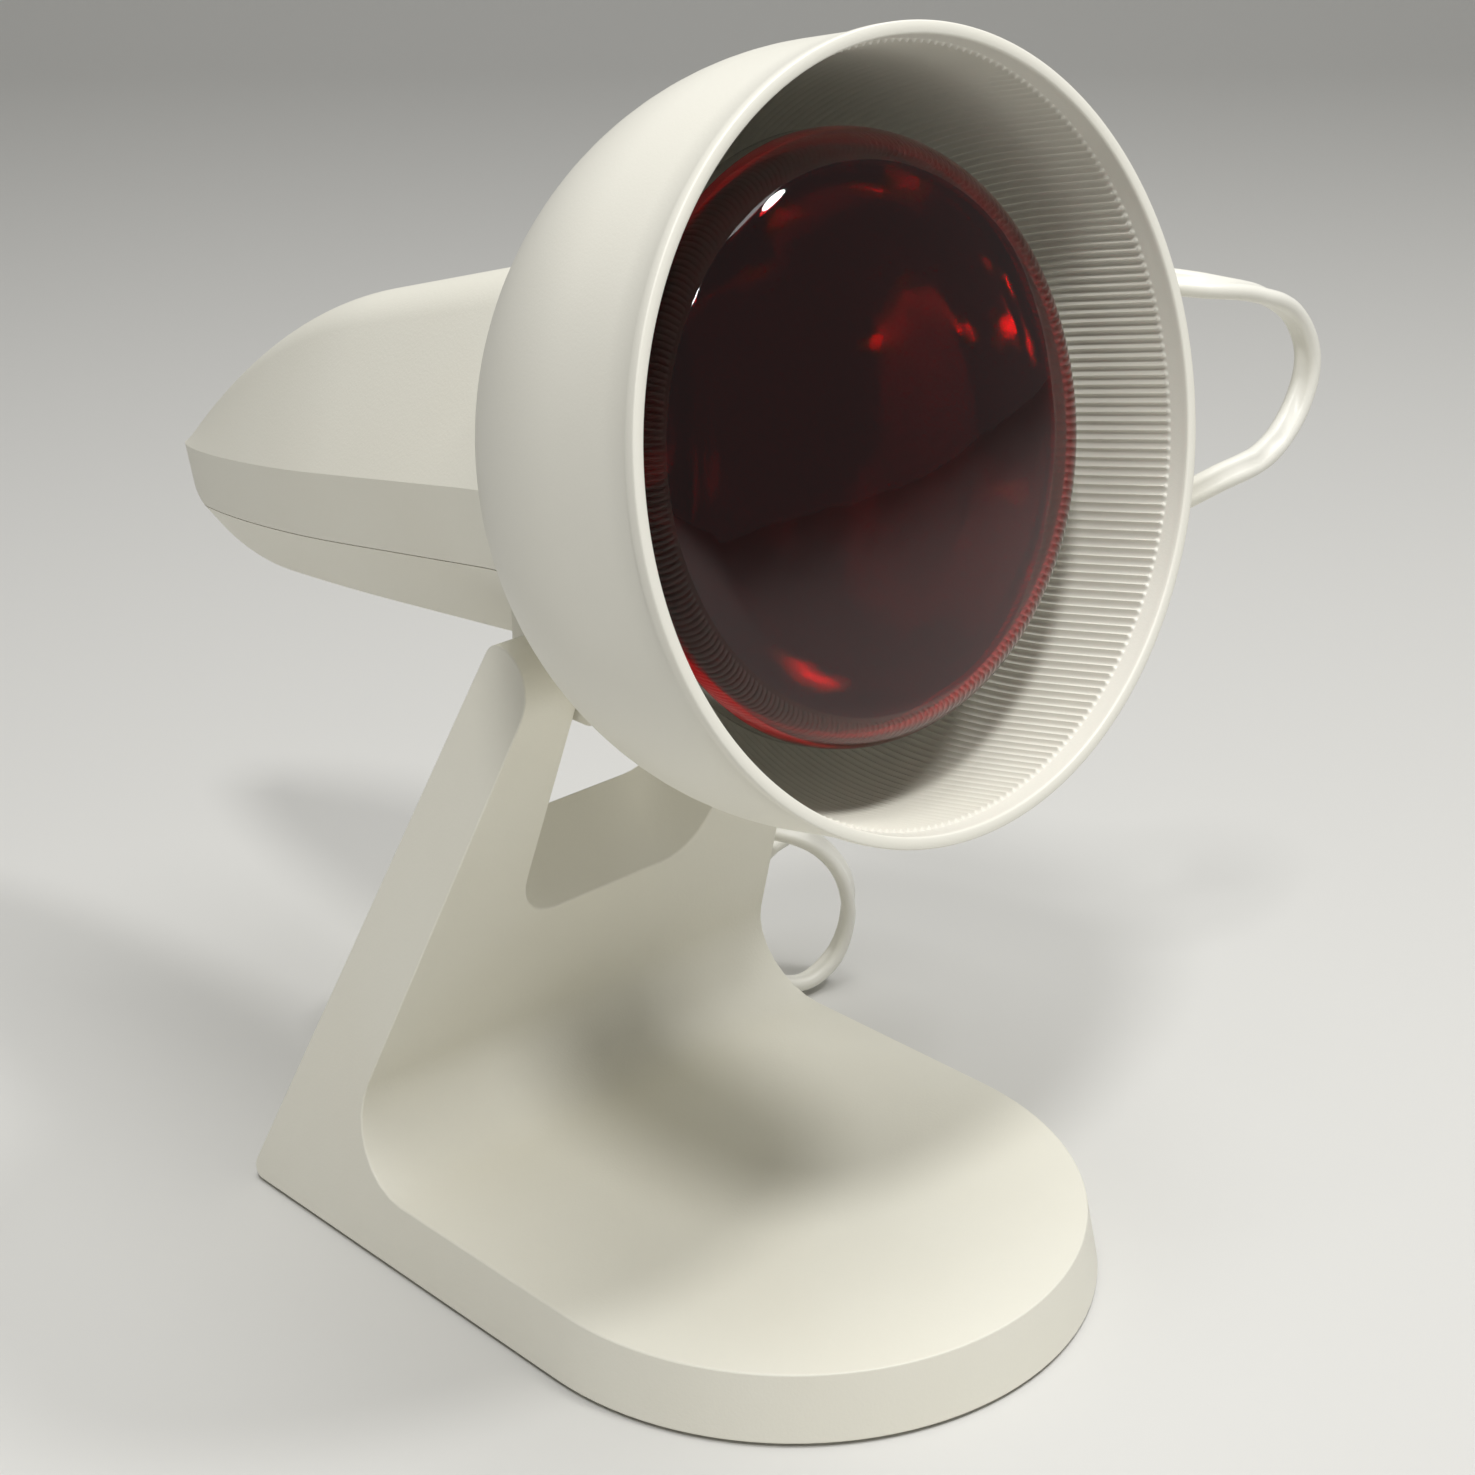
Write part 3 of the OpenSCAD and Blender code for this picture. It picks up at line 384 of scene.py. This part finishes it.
# The section: two round cores side by side, at full height out to each core's middle and
# round beyond it, with a groove between them that goes down to GROOVE of the height.
AROUND = 28                           # points round the section
CROWD = 0.8                           # below 1, the points crowd towards the two ends
GROOVE, GROOVE_SHAPE = 0.78, 1.5
TINY = 1e-6
core_r = LEAD_T / 2
core_at = LEAD_W / 2 - core_r
a = np.linspace(0, 2 * np.pi, AROUND, endpoint=False)
u = np.sign(np.cos(a)) * np.abs(np.cos(a)) ** CROWD * LEAD_W / 2
u = np.where(np.abs(u) < TINY, 0, u)
round_end = np.sqrt(np.maximum(0, 1 - ((np.abs(u) - core_at) / core_r).clip(0, 1) ** 2))
groove = GROOVE + (1 - GROOVE) * (np.abs(u) / core_at).clip(0, 1) ** GROOVE_SHAPE
v = np.sign(np.sin(a)) * np.minimum(round_end, groove) * core_r * (np.abs(np.sin(a)) > TINY)
lead_across = np.cross(lead_way, lead_side)
section = lead_side[:, None] * u[None, :, None] + lead_across[:, None] * v[None, :, None]
ring = np.arange(AROUND)
lead = grid_mesh("mains_lead", lead_path[:, None] + section * MM, around=True,
                 closing=[ring[::-1].tolist(), (ring + (len(lead_path) - 1) * AROUND).tolist()])
face_outwards(lead)
# Soft PVC off the extruder is smoother than the mouldings: a cleaner, longer highlight
# along the lead, and a yellower white where it has been handled.
soft_pvc = moulded_plastic("soft white PVC, extruded", "#F1F0E9", "#E6E3D6",
                           grain_mm=0.8, rough=0.36, bump=0.12)
dress(lead, soft_pvc, "lead_sheath", "stand", "cord_run", "cord_coil")
recolour("cord_gland", soft_pvc)
recolour("plug_body", soft_pvc)

# Nickel plate gives the pins a bright, cool shine, the glossiest of the metals here.
pin_nickel = smooth_metal("nickel-plated brass pin", "#C9CACB", rough=0.2, streak_mm=1.5)
recolour("plug_pins", pin_nickel)
# Nylon is a dull near-black with a weak, broad highlight.
tie_nylon = moulded_plastic("black nylon tie", "#333436", "#2A2B2D",
                            grain_mm=0.6, rough=0.5, bump=0.2)
recolour("cord_tie", tie_nylon)

# -------------------------------------------------------------- the hinge
# A plain steel pin through both arms and the block under the neck, with a fibre washer
# each side whose rub holds the head where it is put.
BLOCK_EDGE = 0.7                      # radius of the block's edges

# Drawn steel is bright and even, with a soft shine.
recolour("hinge_pin", smooth_metal("drawn steel pin", "#B4B6B8", rough=0.22, streak_mm=2.0))
# Pressed fibre is a dull grey with no highlight.
recolour("friction_washers", matt_moulding("vulcanised fibre", "#55575A", "#66686A", rough=0.7))
dress(rounded_copy("hinge_block", "neck_block", BLOCK_EDGE), white_moulding,
      "white_plastic", "head", "hinge_block")

# -------------------------------------------------------------- the bell shade
# A deep bell, one moulding in white polycarbonate. Fine ribs run along the inside of its
# skirt and shoulder from just behind the lip, to stiffen the wall and carry the heat off.
LEG_FRONT, LEG_FRONT_LEAN = 66.5, 0.393  # y of the leg's front face at the desk, its lean
PIVOT_Z, PIVOT_BEHIND = 136.0, 9.3    # the pivot's height, and how far behind that face
TILT = math.radians(11.8)             # how far the beam points up in the photograph
HEAD_S, HEAD_UP = 94.5, -45.8         # the pivot in the head's own frame
pivot = np.array([0.0, LEG_FRONT - LEG_FRONT_LEAN * PIVOT_Z + PIVOT_BEHIND + SHIFT_Y, PIVOT_Z])
s_way = np.array([0.0, math.cos(TILT), -math.sin(TILT)])
up_way = np.array([0.0, math.sin(TILT), math.cos(TILT)])


def on_head(x, up, s):
    """A point of the head's own frame (x across, up across the beam, s behind the rim
    plane, all in mm) as a point of the lamp, in metres."""
    x, up, s = np.broadcast_arrays(x, up, s)
    p = pivot + (s - HEAD_S)[..., None] * s_way + (up - HEAD_UP)[..., None] * up_way
    p[..., 0] -= x
    return p * MM


SKIRT_R, SKIRT_S, SHOULDER_R, BELL_WALL = 76.4, 22.5, 65.0, 2.2
NECK_S, COLLAR_R, COLLAR_WALL, COLLAR_END = 95.5, 25.2, 2.0, 101.0
RIM_TURN = 50                         # degrees: a turn of the bell that is shaded sharp
cone_sum = SKIRT_S + (SKIRT_R - SHOULDER_R) + SHOULDER_R * math.sqrt(2)


def bell_run(d):
    """Points [r, s] of the bell d mm inside its outer face: the shoulder, an arc of
    SHOULDER_R over 45 degrees, then the cone, on which r + s stays the same."""
    t = np.radians(np.linspace(0, 45, 17))
    arc = np.stack([SKIRT_R - SHOULDER_R + (SHOULDER_R - d) * np.cos(t),
                    SKIRT_S + (SHOULDER_R - d) * np.sin(t)], 1)
    neck = [cone_sum - d * math.sqrt(2) - (NECK_S - d), NECK_S - d]
    return np.vstack([arc, np.linspace(arc[-1], neck, 5)[1:]])


outside = bell_run(0)
inside = bell_run(BELL_WALL)
# the flat rim with crisp edges, and a narrow step outside it where the mould parts: how
# far outside the skirt, and s
lip = np.array([[-1.95, 0.55], [-1.85, 0.2], [-1.55, 0], [0.3, 0], [0.52, 0.1], [0.6, 0.35],
                [0.6, 2.1], [0.5, 2.4], [0.12, 2.5], [0, 2.75]]) + [SKIRT_R, 0]
skirt_out = np.array([[SKIRT_R, 9.0], [SKIRT_R, 16.0]])
collar = np.array([[COLLAR_R + COLLAR_WALL, NECK_S], [COLLAR_R + COLLAR_WALL, COLLAR_END],
                   [COLLAR_R, COLLAR_END], [COLLAR_R, NECK_S - BELL_WALL]])
# The ribs stand on the inside from RIB_END, where they end bluntly, to RIB_DEEP, where
# they run out. Each has five points: a wide flat, and a narrow crest RIB_HIGH tall.
RIBS, RIB_HIGH, RIB_END, RIB_DEEP = 240, 0.7, 4.5, 66.0
RIB_RISE, RIB_FADE = 0.4, 3.0
rib = np.array([0.0, 0.0, 0.3, 1.0, 0.3])
inner_r = SKIRT_R - BELL_WALL
skirt_in = np.array([[inner_r, 14.0], [inner_r, RIB_END + 0.9], [inner_r, RIB_END + RIB_RISE],
                     [inner_r, RIB_END], [inner_r, RIB_END - 0.3], [inner_r + 0.2, 2.8],
                     [inner_r + 0.25, 1.4]])
bell_profile = np.vstack([lip, skirt_out, outside, collar, inside[::-1], skirt_in])
ribbed = np.arange(len(bell_profile)) >= len(bell_profile) - len(skirt_in) - len(inside)
depth = bell_profile[:, 1:]
stands = (ribbed[:, None] * np.clip((depth - RIB_END) / RIB_RISE, 0, 1)
          * np.clip((RIB_DEEP - depth) / RIB_FADE, 0, 1))
turn = np.linspace(0, 2 * np.pi, RIBS * len(rib), endpoint=False)
radius = bell_profile[:, :1] - stands * np.tile(rib, RIBS) * RIB_HIGH
bell = grid_mesh("bell_shade", on_head(radius * np.cos(turn), radius * np.sin(turn), depth),
                 around=True, along=True)
face_outwards(bell)
bell.data.set_sharp_from_angle(angle=math.radians(RIM_TURN))
# Polycarbonate from a finer mould is a little glossier and whiter than the stand, so the
# lamps show on it as soft round glows.
shade_white = moulded_plastic("satin white polycarbonate", "#F2F0E6", "#EDEADD",
                              grain_mm=0.3, rough=0.4, bump=0.22)
dress(bell, shade_white, "shade_white", "head", "shade")

# -------------------------------------------------------------- the tail housing
# Two lofted shells behind the bell that part along the lower crease: a roof with flat
# sides that run up to a rounded ridge, and a keel with a flat bottom. Both close in a
# blunt nose and are screwed together from below.
TAIL_S, TAIL_LEN, TAIL_WALL = 92.0, 268.0, 2.0
TAIL_HALF, HALF_TAPER = 37.0, 0.10    # half width at TAIL_S, and its taper per mm
RIDGE_TOP, RIDGE_TAPER = 40.0, 0.07   # the ridge's height
KEEL_DEEP, KEEL_TAPER = 34.0, 0.085   # the bottom's depth below KEEL_UP
CREASE_UP, CREASE_RISE = -3.0, 0.012  # the upper crease
SEAM_UP, SEAM_RISE = -21.0, 0.03      # the lower crease, where the two shells part
ROOF_UP, KEEL_UP = -1.0, -8.0         # the levels at which the roof and the keel close
ROOF_NOSE_S, KEEL_NOSE_S = 165.0, 215.0  # where the roof and the keel start to close
NOSE_POWER, SEAM_SHARE = 0.6, 0.72    # how the half width closes, and the seam with it
FLARE_S, FLARE_LONG, FLARE = 104.0, 16.0, 0.9  # the front end flares by FLARE
FRONT_GAP, FRONT_FIRST = 0.5, 76.0    # gap to the bell, and the least s of the front edge
RIDGE_ROUND = 0.45                    # the ridge's radius, as a share of the half width
SEAM_HALF, BOTTOM_HALF = 0.92, 0.5    # half widths at the seam and of the flat bottom
SEAM_GAP = 0.2                        # between the two shells
BOTTOM_IN = 0.4                       # how far the flat bottom narrows inside, per mm of wall
NOSE_WALL, NOSE_SPREAD = 5.0, 3.0     # the inside ends before the nose, spread a little
CREASE_TURN = 24                      # degrees: a turn of the shells shaded sharp


def tail_sizes(s):
    """Half width, top, bottom and the two crease levels at s. All taper evenly from
    TAIL_S. With u and v as the shares of the way to the nose, the half width closes by
    (1 - u squared) to NOSE_POWER, the top by 1 - u squared, and the bottom by a quarter
    ellipse in v, which takes the seam along at SEAM_SHARE. The flare is a parabola."""
    back = s - TAIL_S
    u = np.maximum(0, (s - ROOF_NOSE_S) / (TAIL_LEN - ROOF_NOSE_S))
    v = np.maximum(0, (s - KEEL_NOSE_S) / (TAIL_LEN - KEEL_NOSE_S))
    flare = np.where(s < FLARE_S, ((FLARE_S - s) / FLARE_LONG) ** 2 * FLARE, 0)
    half = (TAIL_HALF - HALF_TAPER * back) * np.maximum(0, 1 - u * u) ** NOSE_POWER + flare
    top = ROOF_UP + (RIDGE_TOP - ROOF_UP - RIDGE_TAPER * back) * (1 - u * u) + flare
    bottom = KEEL_UP - (KEEL_DEEP - KEEL_TAPER * back) * np.sqrt(np.maximum(0, 1 - v * v))
    crease = CREASE_UP + CREASE_RISE * back
    seam = np.maximum(SEAM_UP + SEAM_RISE * back, bottom * SEAM_SHARE)
    return half, top, bottom, crease, seam


def between(p, q, n):
    """n points from just after p up to q, evenly spaced, for each pair of p and q."""
    return p[:, None] + (q - p)[:, None] * (np.arange(1, n + 1) / n)[:, None]


def roof_run(s, d):
    """Sections of the roof at each s, d mm inside it: seam, crease, flat side, and a
    ridge arc that starts where the flat is a tangent to it, then the same down the other
    side."""
    half, top, _, crease, seam = tail_sizes(s)
    b = half - d
    r = RIDGE_ROUND * b
    middle = top - d - r
    tangent = (np.arctan2(crease - middle, b)
               + np.arccos(np.minimum(1, r / np.hypot(b, crease - middle))))
    t = (np.pi / 2 - tangent)[:, None] * np.linspace(0, 1, 13)
    ridge = np.stack([r[:, None] * np.sin(t), middle[:, None] + r[:, None] * np.cos(t)], -1)
    at_crease = np.stack([b, crease], -1)
    at_seam = np.stack([SEAM_HALF * half - d, seam], -1)
    one_side = np.concatenate([ridge, between(ridge[:, -1], at_crease, 8),
                               between(at_crease, at_seam, 4)], 1)
    return np.concatenate([one_side[:, ::-1], one_side[:, 1:] * [-1, 1]], 1)


def keel_run(s, d):
    """Sections of the keel at each s, d mm inside it: seam, lower flat side and flat
    bottom, then the same up the other side."""
    half, _, bottom, _, seam = tail_sizes(s)
    at_seam = np.stack([SEAM_HALF * half - d, seam - SEAM_GAP], -1)
    at_edge = np.stack([BOTTOM_HALF * half - BOTTOM_IN * d, bottom + d], -1)
    at_middle = np.stack([np.zeros_like(half), bottom + d], -1)
    one_side = np.concatenate([at_seam[:, None], between(at_seam, at_edge, 6),
                               between(at_edge, at_middle, 4)], 1)
    return np.concatenate([one_side * [-1, 1], one_side[:, -2::-1]], 1)


# where the sections stand: wide apart on the straight stretch, close on the nose
tail_levels = np.concatenate([np.linspace(106, 165, 12), np.linspace(170, TAIL_LEN - 12, 26),
                              TAIL_LEN - np.array([9.5, 7, 5, 3.4, 2.2, 1.3, 0.7, 0.3])])


def tail_skin(run, d):
    """All sections of one skin: the front edge, three steps towards the first level, and
    the levels. Each point of the front edge slides along the tail, in six rounds, to the
    s where its distance from the axis and s add up to the cone's sum and the gap."""
    count = run(tail_levels, d).shape[1]
    own = np.arange(count)
    meets = np.full(count, TAIL_S)
    for _ in range(6):
        reach = np.linalg.norm(run(meets, d)[own, own], axis=1)
        meets = np.maximum(FRONT_FIRST, cone_sum + FRONT_GAP - reach)
    front = np.column_stack([run(meets, d)[own, own], meets])
    s = tail_levels
    if d > 0:
        to_go = 1 - np.arange(len(s)) / len(s)
        s = np.minimum(s, TAIL_LEN - NOSE_WALL - NOSE_SPREAD * to_go)
    levels = np.concatenate([run(s, d), np.broadcast_to(s[:, None, None], (len(s), count, 1))], -1)
    share = np.array([0, 0.25, 0.5, 0.75])[:, None, None]
    return np.concatenate([front + (levels[0] - front) * share, levels])


def tail_shell(name, run):
    """One shell: the outer skin and the inner one as one loop round, joined along the
    two seams, with quads between them along the front edge. At the nose each skin is
    closed by one face, and a quad closes the seam."""
    outer, inner = tail_skin(run, 0), tail_skin(run, TAIL_WALL)
    loop = np.concatenate([outer, inner[:, ::-1]], axis=1)
    rows, n = loop.shape[:2]
    half = n // 2
    j = np.arange(half - 1)
    front = np.stack([j, j + 1, n - 2 - j, n - 1 - j], -1)
    nose = np.arange(n) + (rows - 1) * n
    closing = front.tolist() + [nose[:half].tolist(), nose[half:].tolist(),
                                nose[[0, n - 1, half, half - 1]].tolist()]
    piece = grid_mesh(name, on_head(loop[..., 0], loop[..., 1], loop[..., 2]),
                      around=True, closing=closing)
    face_outwards(piece)
    piece.data.shade_smooth()
    piece.data.set_sharp_from_angle(angle=math.radians(CREASE_TURN))
    return piece


dress(tail_shell("tail_roof", roof_run), white_moulding, "white_plastic", "head", "tail_shell")
dress(tail_shell("tail_keel", keel_run), white_moulding, "white_plastic", "head", "tail_cover")

# -------------------------------------------------------------- the lamp holder
# A glazed porcelain screw holder on a bent steel strap, with a brass contact, a small
# porcelain terminal block and two sleeved leads. All of it is shut inside the tail.

# A fired glaze is hard and glossy, with a slight waviness that bends its reflections.
porcelain = moulded_plastic("glazed porcelain", "#F4F2EC", "#EFECE3",
                            grain_mm=2.0, rough=0.12, bump=0.05)
recolour("lamp_holder", porcelain)
recolour("terminal_block", porcelain)
# Rolled strip is grey with a soft, uneven shine.
strip_steel = smooth_metal("bent strip steel", "#AEB1B4", rough=0.32, streak_mm=1.2)
recolour("holder_bracket", strip_steel)
# Spring brass is yellow where clean, and paler where it has been rubbed.
spring_brass = smooth_metal("spring brass", "#C8A452", rough=0.3, streak_mm=1.0)
recolour("holder_contact", spring_brass)
# Silicone rubber is brick red, with a dull bloom on it.
red_silicone = matt_moulding("red silicone sleeve", "#A8352B", "#B9483D", rough=0.5)
recolour("holder_leads", red_silicone)

# -------------------------------------------------------------- the bulb
# A pressed-glass reflector bulb. Its face is ruby glass that lets almost only red
# through: a low dome with a rounded edge, fused to a bowl that is mirrored inside.
BULB_R, BULB_STEPS, GLASS = 60.0, 160, 3.0
GLASS_TURN = 60                       # degrees: a turn of the glass that is shaded sharp
POLE_MM = 0.0001                      # points closer than this meet at a pole
FACE_EDGE, FACE_ROUND, SEAM_S = 13.0, 220.0, 24.0
edge_r = BULB_R - FACE_EDGE
face_s = SEAM_S + math.sqrt((FACE_ROUND - FACE_EDGE) ** 2 - edge_r ** 2) - FACE_ROUND
face_turn = math.asin(edge_r / (FACE_ROUND - FACE_EDGE))


def turned(name, profile):
    """The closed run of [r, s] points turned about the beam axis in BULB_STEPS steps.
    Points that meet at a pole are merged into one."""
    t = np.linspace(0, 2 * np.pi, BULB_STEPS, endpoint=False)
    r, s = profile[:, :1], profile[:, 1:]
    piece = grid_mesh(name, on_head(r * np.cos(t), r * np.sin(t), s), around=True, along=True)
    face_outwards(piece, merge_mm=POLE_MM)
    piece.data.shade_smooth()
    piece.data.set_sharp_from_angle(angle=math.radians(GLASS_TURN))
    return piece


def face_run(d):
    """Points [r, s] of the face, d mm inside it, from the pole to the seam: an arc of
    FACE_ROUND, then one of FACE_EDGE that takes over where the two have one tangent."""
    t = np.linspace(0, face_turn, 32)
    dome = np.stack([(FACE_ROUND - d) * np.sin(t),
                     face_s + FACE_ROUND - (FACE_ROUND - d) * np.cos(t)], 1)
    t = np.linspace(face_turn, math.pi / 2, 32)[1:]
    edge = np.stack([edge_r + (FACE_EDGE - d) * np.sin(t),
                     SEAM_S - (FACE_EDGE - d) * np.cos(t)], 1)
    return np.vstack([dome, edge])


def ruby_glass():
    """Clear red glass, almost mirror-smooth, with the waves that pressing leaves, which
    are 11 mm wide and bend its reflections."""
    material, shader = finish_named("pressed ruby glass")
    place = add(material, "ShaderNodeTexCoord").outputs["Object"]
    waves = add(material, "ShaderNodeTexNoise",
                {"Vector": place, "Scale": patches(11.1), "Detail": 2.0})
    relief = add(material, "ShaderNodeBump",
                 {"Height": waves.outputs[0], "Strength": 0.25, "Distance": 0.6 * MM})
    wire(material, relief.outputs[0], shader.inputs["Normal"])
    shader.inputs["Base Color"].default_value = linear("#980A11")
    shader.inputs["Roughness"].default_value = 0.03
    shader.inputs["IOR"].default_value = 1.5
    shader.inputs["Transmission Weight"].default_value = 1.0
    return material


# Ruby glass over a mirror looks deep red, darker at the edge, with sharp white glints.
bulb_face = turned("bulb_face", np.vstack([face_run(0), face_run(GLASS)[::-1]]))
dress(bulb_face, ruby_glass(), "ruby_glass", "bulb", "bulb_lens")


def spaced(points, gap):
    """The same run of points, with each stretch cut into equal parts of at most gap mm."""
    step = np.diff(points, axis=0)
    parts = np.maximum(1, np.ceil(np.linalg.norm(step, axis=1) / gap)).astype(int)
    first = np.cumsum(parts) - parts
    share = (np.arange(parts.sum()) - np.repeat(first, parts)) / np.repeat(parts, parts)
    cut = np.repeat(points[:-1], parts, axis=0) + np.repeat(step, parts, axis=0) * share[:, None]
    return np.vstack([cut, points[-1:]])


def silvered_glass():
    """Glass with aluminium behind it, which is a mirror with a faint haze in patches of
    8 mm that move its roughness from 0.04 to 0.16."""
    material, shader = finish_named("glass, aluminised inside")
    place = add(material, "ShaderNodeTexCoord").outputs["Object"]
    haze = add(material, "ShaderNodeTexNoise",
               {"Vector": place, "Scale": patches(8.33), "Detail": 5.0})
    gloss = add(material, "ShaderNodeMapRange",
                {"Value": haze.outputs[0], "To Min": 0.04, "To Max": 0.16})
    wire(material, gloss.outputs[0], shader.inputs["Roughness"])
    shader.inputs["Base Color"].default_value = linear("#C6C4C1")
    shader.inputs["Metallic"].default_value = 1.0
    return material


# the bowl from the seam back to its neck: how far inside the widest radius, and s
BOWL_S, NECK_FROM, POINT_GAP = 24.1, 90.0, 4.0
BOWL_GLASS, NECK_GLASS, SEAM_GLASS, INSIDE_SHIFT = 2.4, 2.2, 2.5, 0.6
bowl_out = np.array([[0, BOWL_S], [0, 28], [1.8, 33], [4.2, 40], [7.4, 46], [11.6, 53],
                     [16, 60], [20.4, 68], [25, 76], [29.6, 83], [33, 88], [36, 95],
                     [38.4, 101], [41.4, 107], [44.6, 112], [46.6, 117.6]]) * [-1, 1] + [BULB_R, 0]
glass = np.where(bowl_out[:, 1] < NECK_FROM, BOWL_GLASS, NECK_GLASS)
bowl_in = (bowl_out - np.column_stack([glass, np.full(len(glass), INSIDE_SHIFT)]))[::-1]
bowl_in[-1] = [BULB_R - SEAM_GLASS, BOWL_S]
bowl = turned("bulb_bowl_glass", np.vstack([spaced(bowl_out, POINT_GAP), spaced(bowl_in, POINT_GAP)]))
# The mirrored bowl picks up the white of the bell round it.
dress(bowl, silvered_glass(), "mirror_glass", "bulb", "bulb_bowl")
# Nickel over brass is a warm, slightly yellow silver.
cap_nickel = smooth_metal("nickel-plated brass cap", "#C2B68C", rough=0.28, streak_mm=1.5)
recolour("bulb_cap", cap_nickel)
# Tin on the contact is grey and soft-looking, from the solder.
recolour("bulb_tip", smooth_metal("tinned contact", "#BFC1C3", rough=0.35, streak_mm=0.8))

# -------------------------------------------------------------- floor and light
# A plain pale floor that curves up behind, two small round lamps, one high behind the
# camera and one high on its right, a large soft one overhead, and an even pale surround.
FLOOR_FRONT, FLOOR_BACK, CURVE_R, WALL_TOP, FLOOR_HALF = -3.0, 1.6, 1.0, 4.0, 3.5
AIM = (0, 0, 0.1)                     # what the lamps point at
t = np.linspace(0, 1, 40) * np.pi / 2
back = np.concatenate([[FLOOR_FRONT, FLOOR_BACK], FLOOR_BACK + CURVE_R * np.sin(t),
                       [FLOOR_BACK + CURVE_R]])[:, None]
height = np.concatenate([[0.0, 0.0], CURVE_R * (1 - np.cos(t)), [WALL_TOP]])[:, None]
across = np.array([[-FLOOR_HALF, FLOOR_HALF]])
view_turn = math.radians(-44.1)       # the camera's side, so that the wall is behind
sweep = np.stack(np.broadcast_arrays(across * math.cos(view_turn) - back * math.sin(view_turn),
                                     across * math.sin(view_turn) + back * math.cos(view_turn),
                                     height), -1)
floor = grid_mesh("studio_floor", sweep)
# Seamless paper is an even, dull pale grey that keeps the shadow soft.
paper, shader = finish_named("seamless paper")
shader.inputs["Base Color"].default_value = linear("#D9D8D4")
shader.inputs["Roughness"].default_value = 0.9
floor.data.materials.append(paper)

world = bpy.data.worlds.new("pale surround")
world.use_nodes = True
surround = world.node_tree.nodes["Background"]
surround.inputs["Color"].default_value = linear("#F2F2F0")
surround.inputs["Strength"].default_value = 0.24
bpy.context.scene.world = world


def soft_light(name, place, size, power):
    """A round soft light of that diameter in metres and power in watts, turned to AIM."""
    lamp = bpy.data.lights.new(name, "AREA")
    lamp.shape = "DISK"
    lamp.size = size
    lamp.energy = power
    holder = bpy.data.objects.new(name, lamp)
    holder.location = place
    holder.rotation_euler = (Vector(AIM) - Vector(place)).to_track_quat("-Z", "Y").to_euler()
    bpy.context.scene.collection.objects.link(holder)


soft_light("key", place=(-0.5, -0.55, 1.3), size=0.22, power=7.5)
soft_light("second lamp", place=(0.38, -0.63, 1.3), size=0.2, power=5.0)
soft_light("ceiling", place=(0.2, -0.2, 1.9), size=1.2, power=15.0)

# -------------------------------------------------------------- the camera
# It stands where the photograph was taken from. The place and the three directions of
# its picture were fitted to the base outline, the rim and the leg.
EYE = Vector((-0.3546, -0.3708 + SHIFT_Y * MM, 0.3436))
PICTURE_RIGHT = Vector((0.7174, -0.6967, -0.0033))
PICTURE_UP = Vector((0.2794, 0.2833, 0.9174))
AHEAD = Vector((0.6382, 0.6591, -0.3979))
photo_camera = bpy.data.cameras.new("photo_camera")
photo_camera.sensor_width = 36.0
photo_camera.lens = 63.46
photo_camera.clip_start = 0.01
camera = bpy.data.objects.new("photo_camera", photo_camera)
facing = Matrix((PICTURE_RIGHT, PICTURE_UP, -AHEAD)).transposed().to_4x4()
camera.matrix_world = Matrix.Translation(EYE) @ facing
bpy.context.scene.collection.objects.link(camera)
bpy.context.scene.camera = camera
bpy.context.scene.view_settings.view_transform = "Standard"
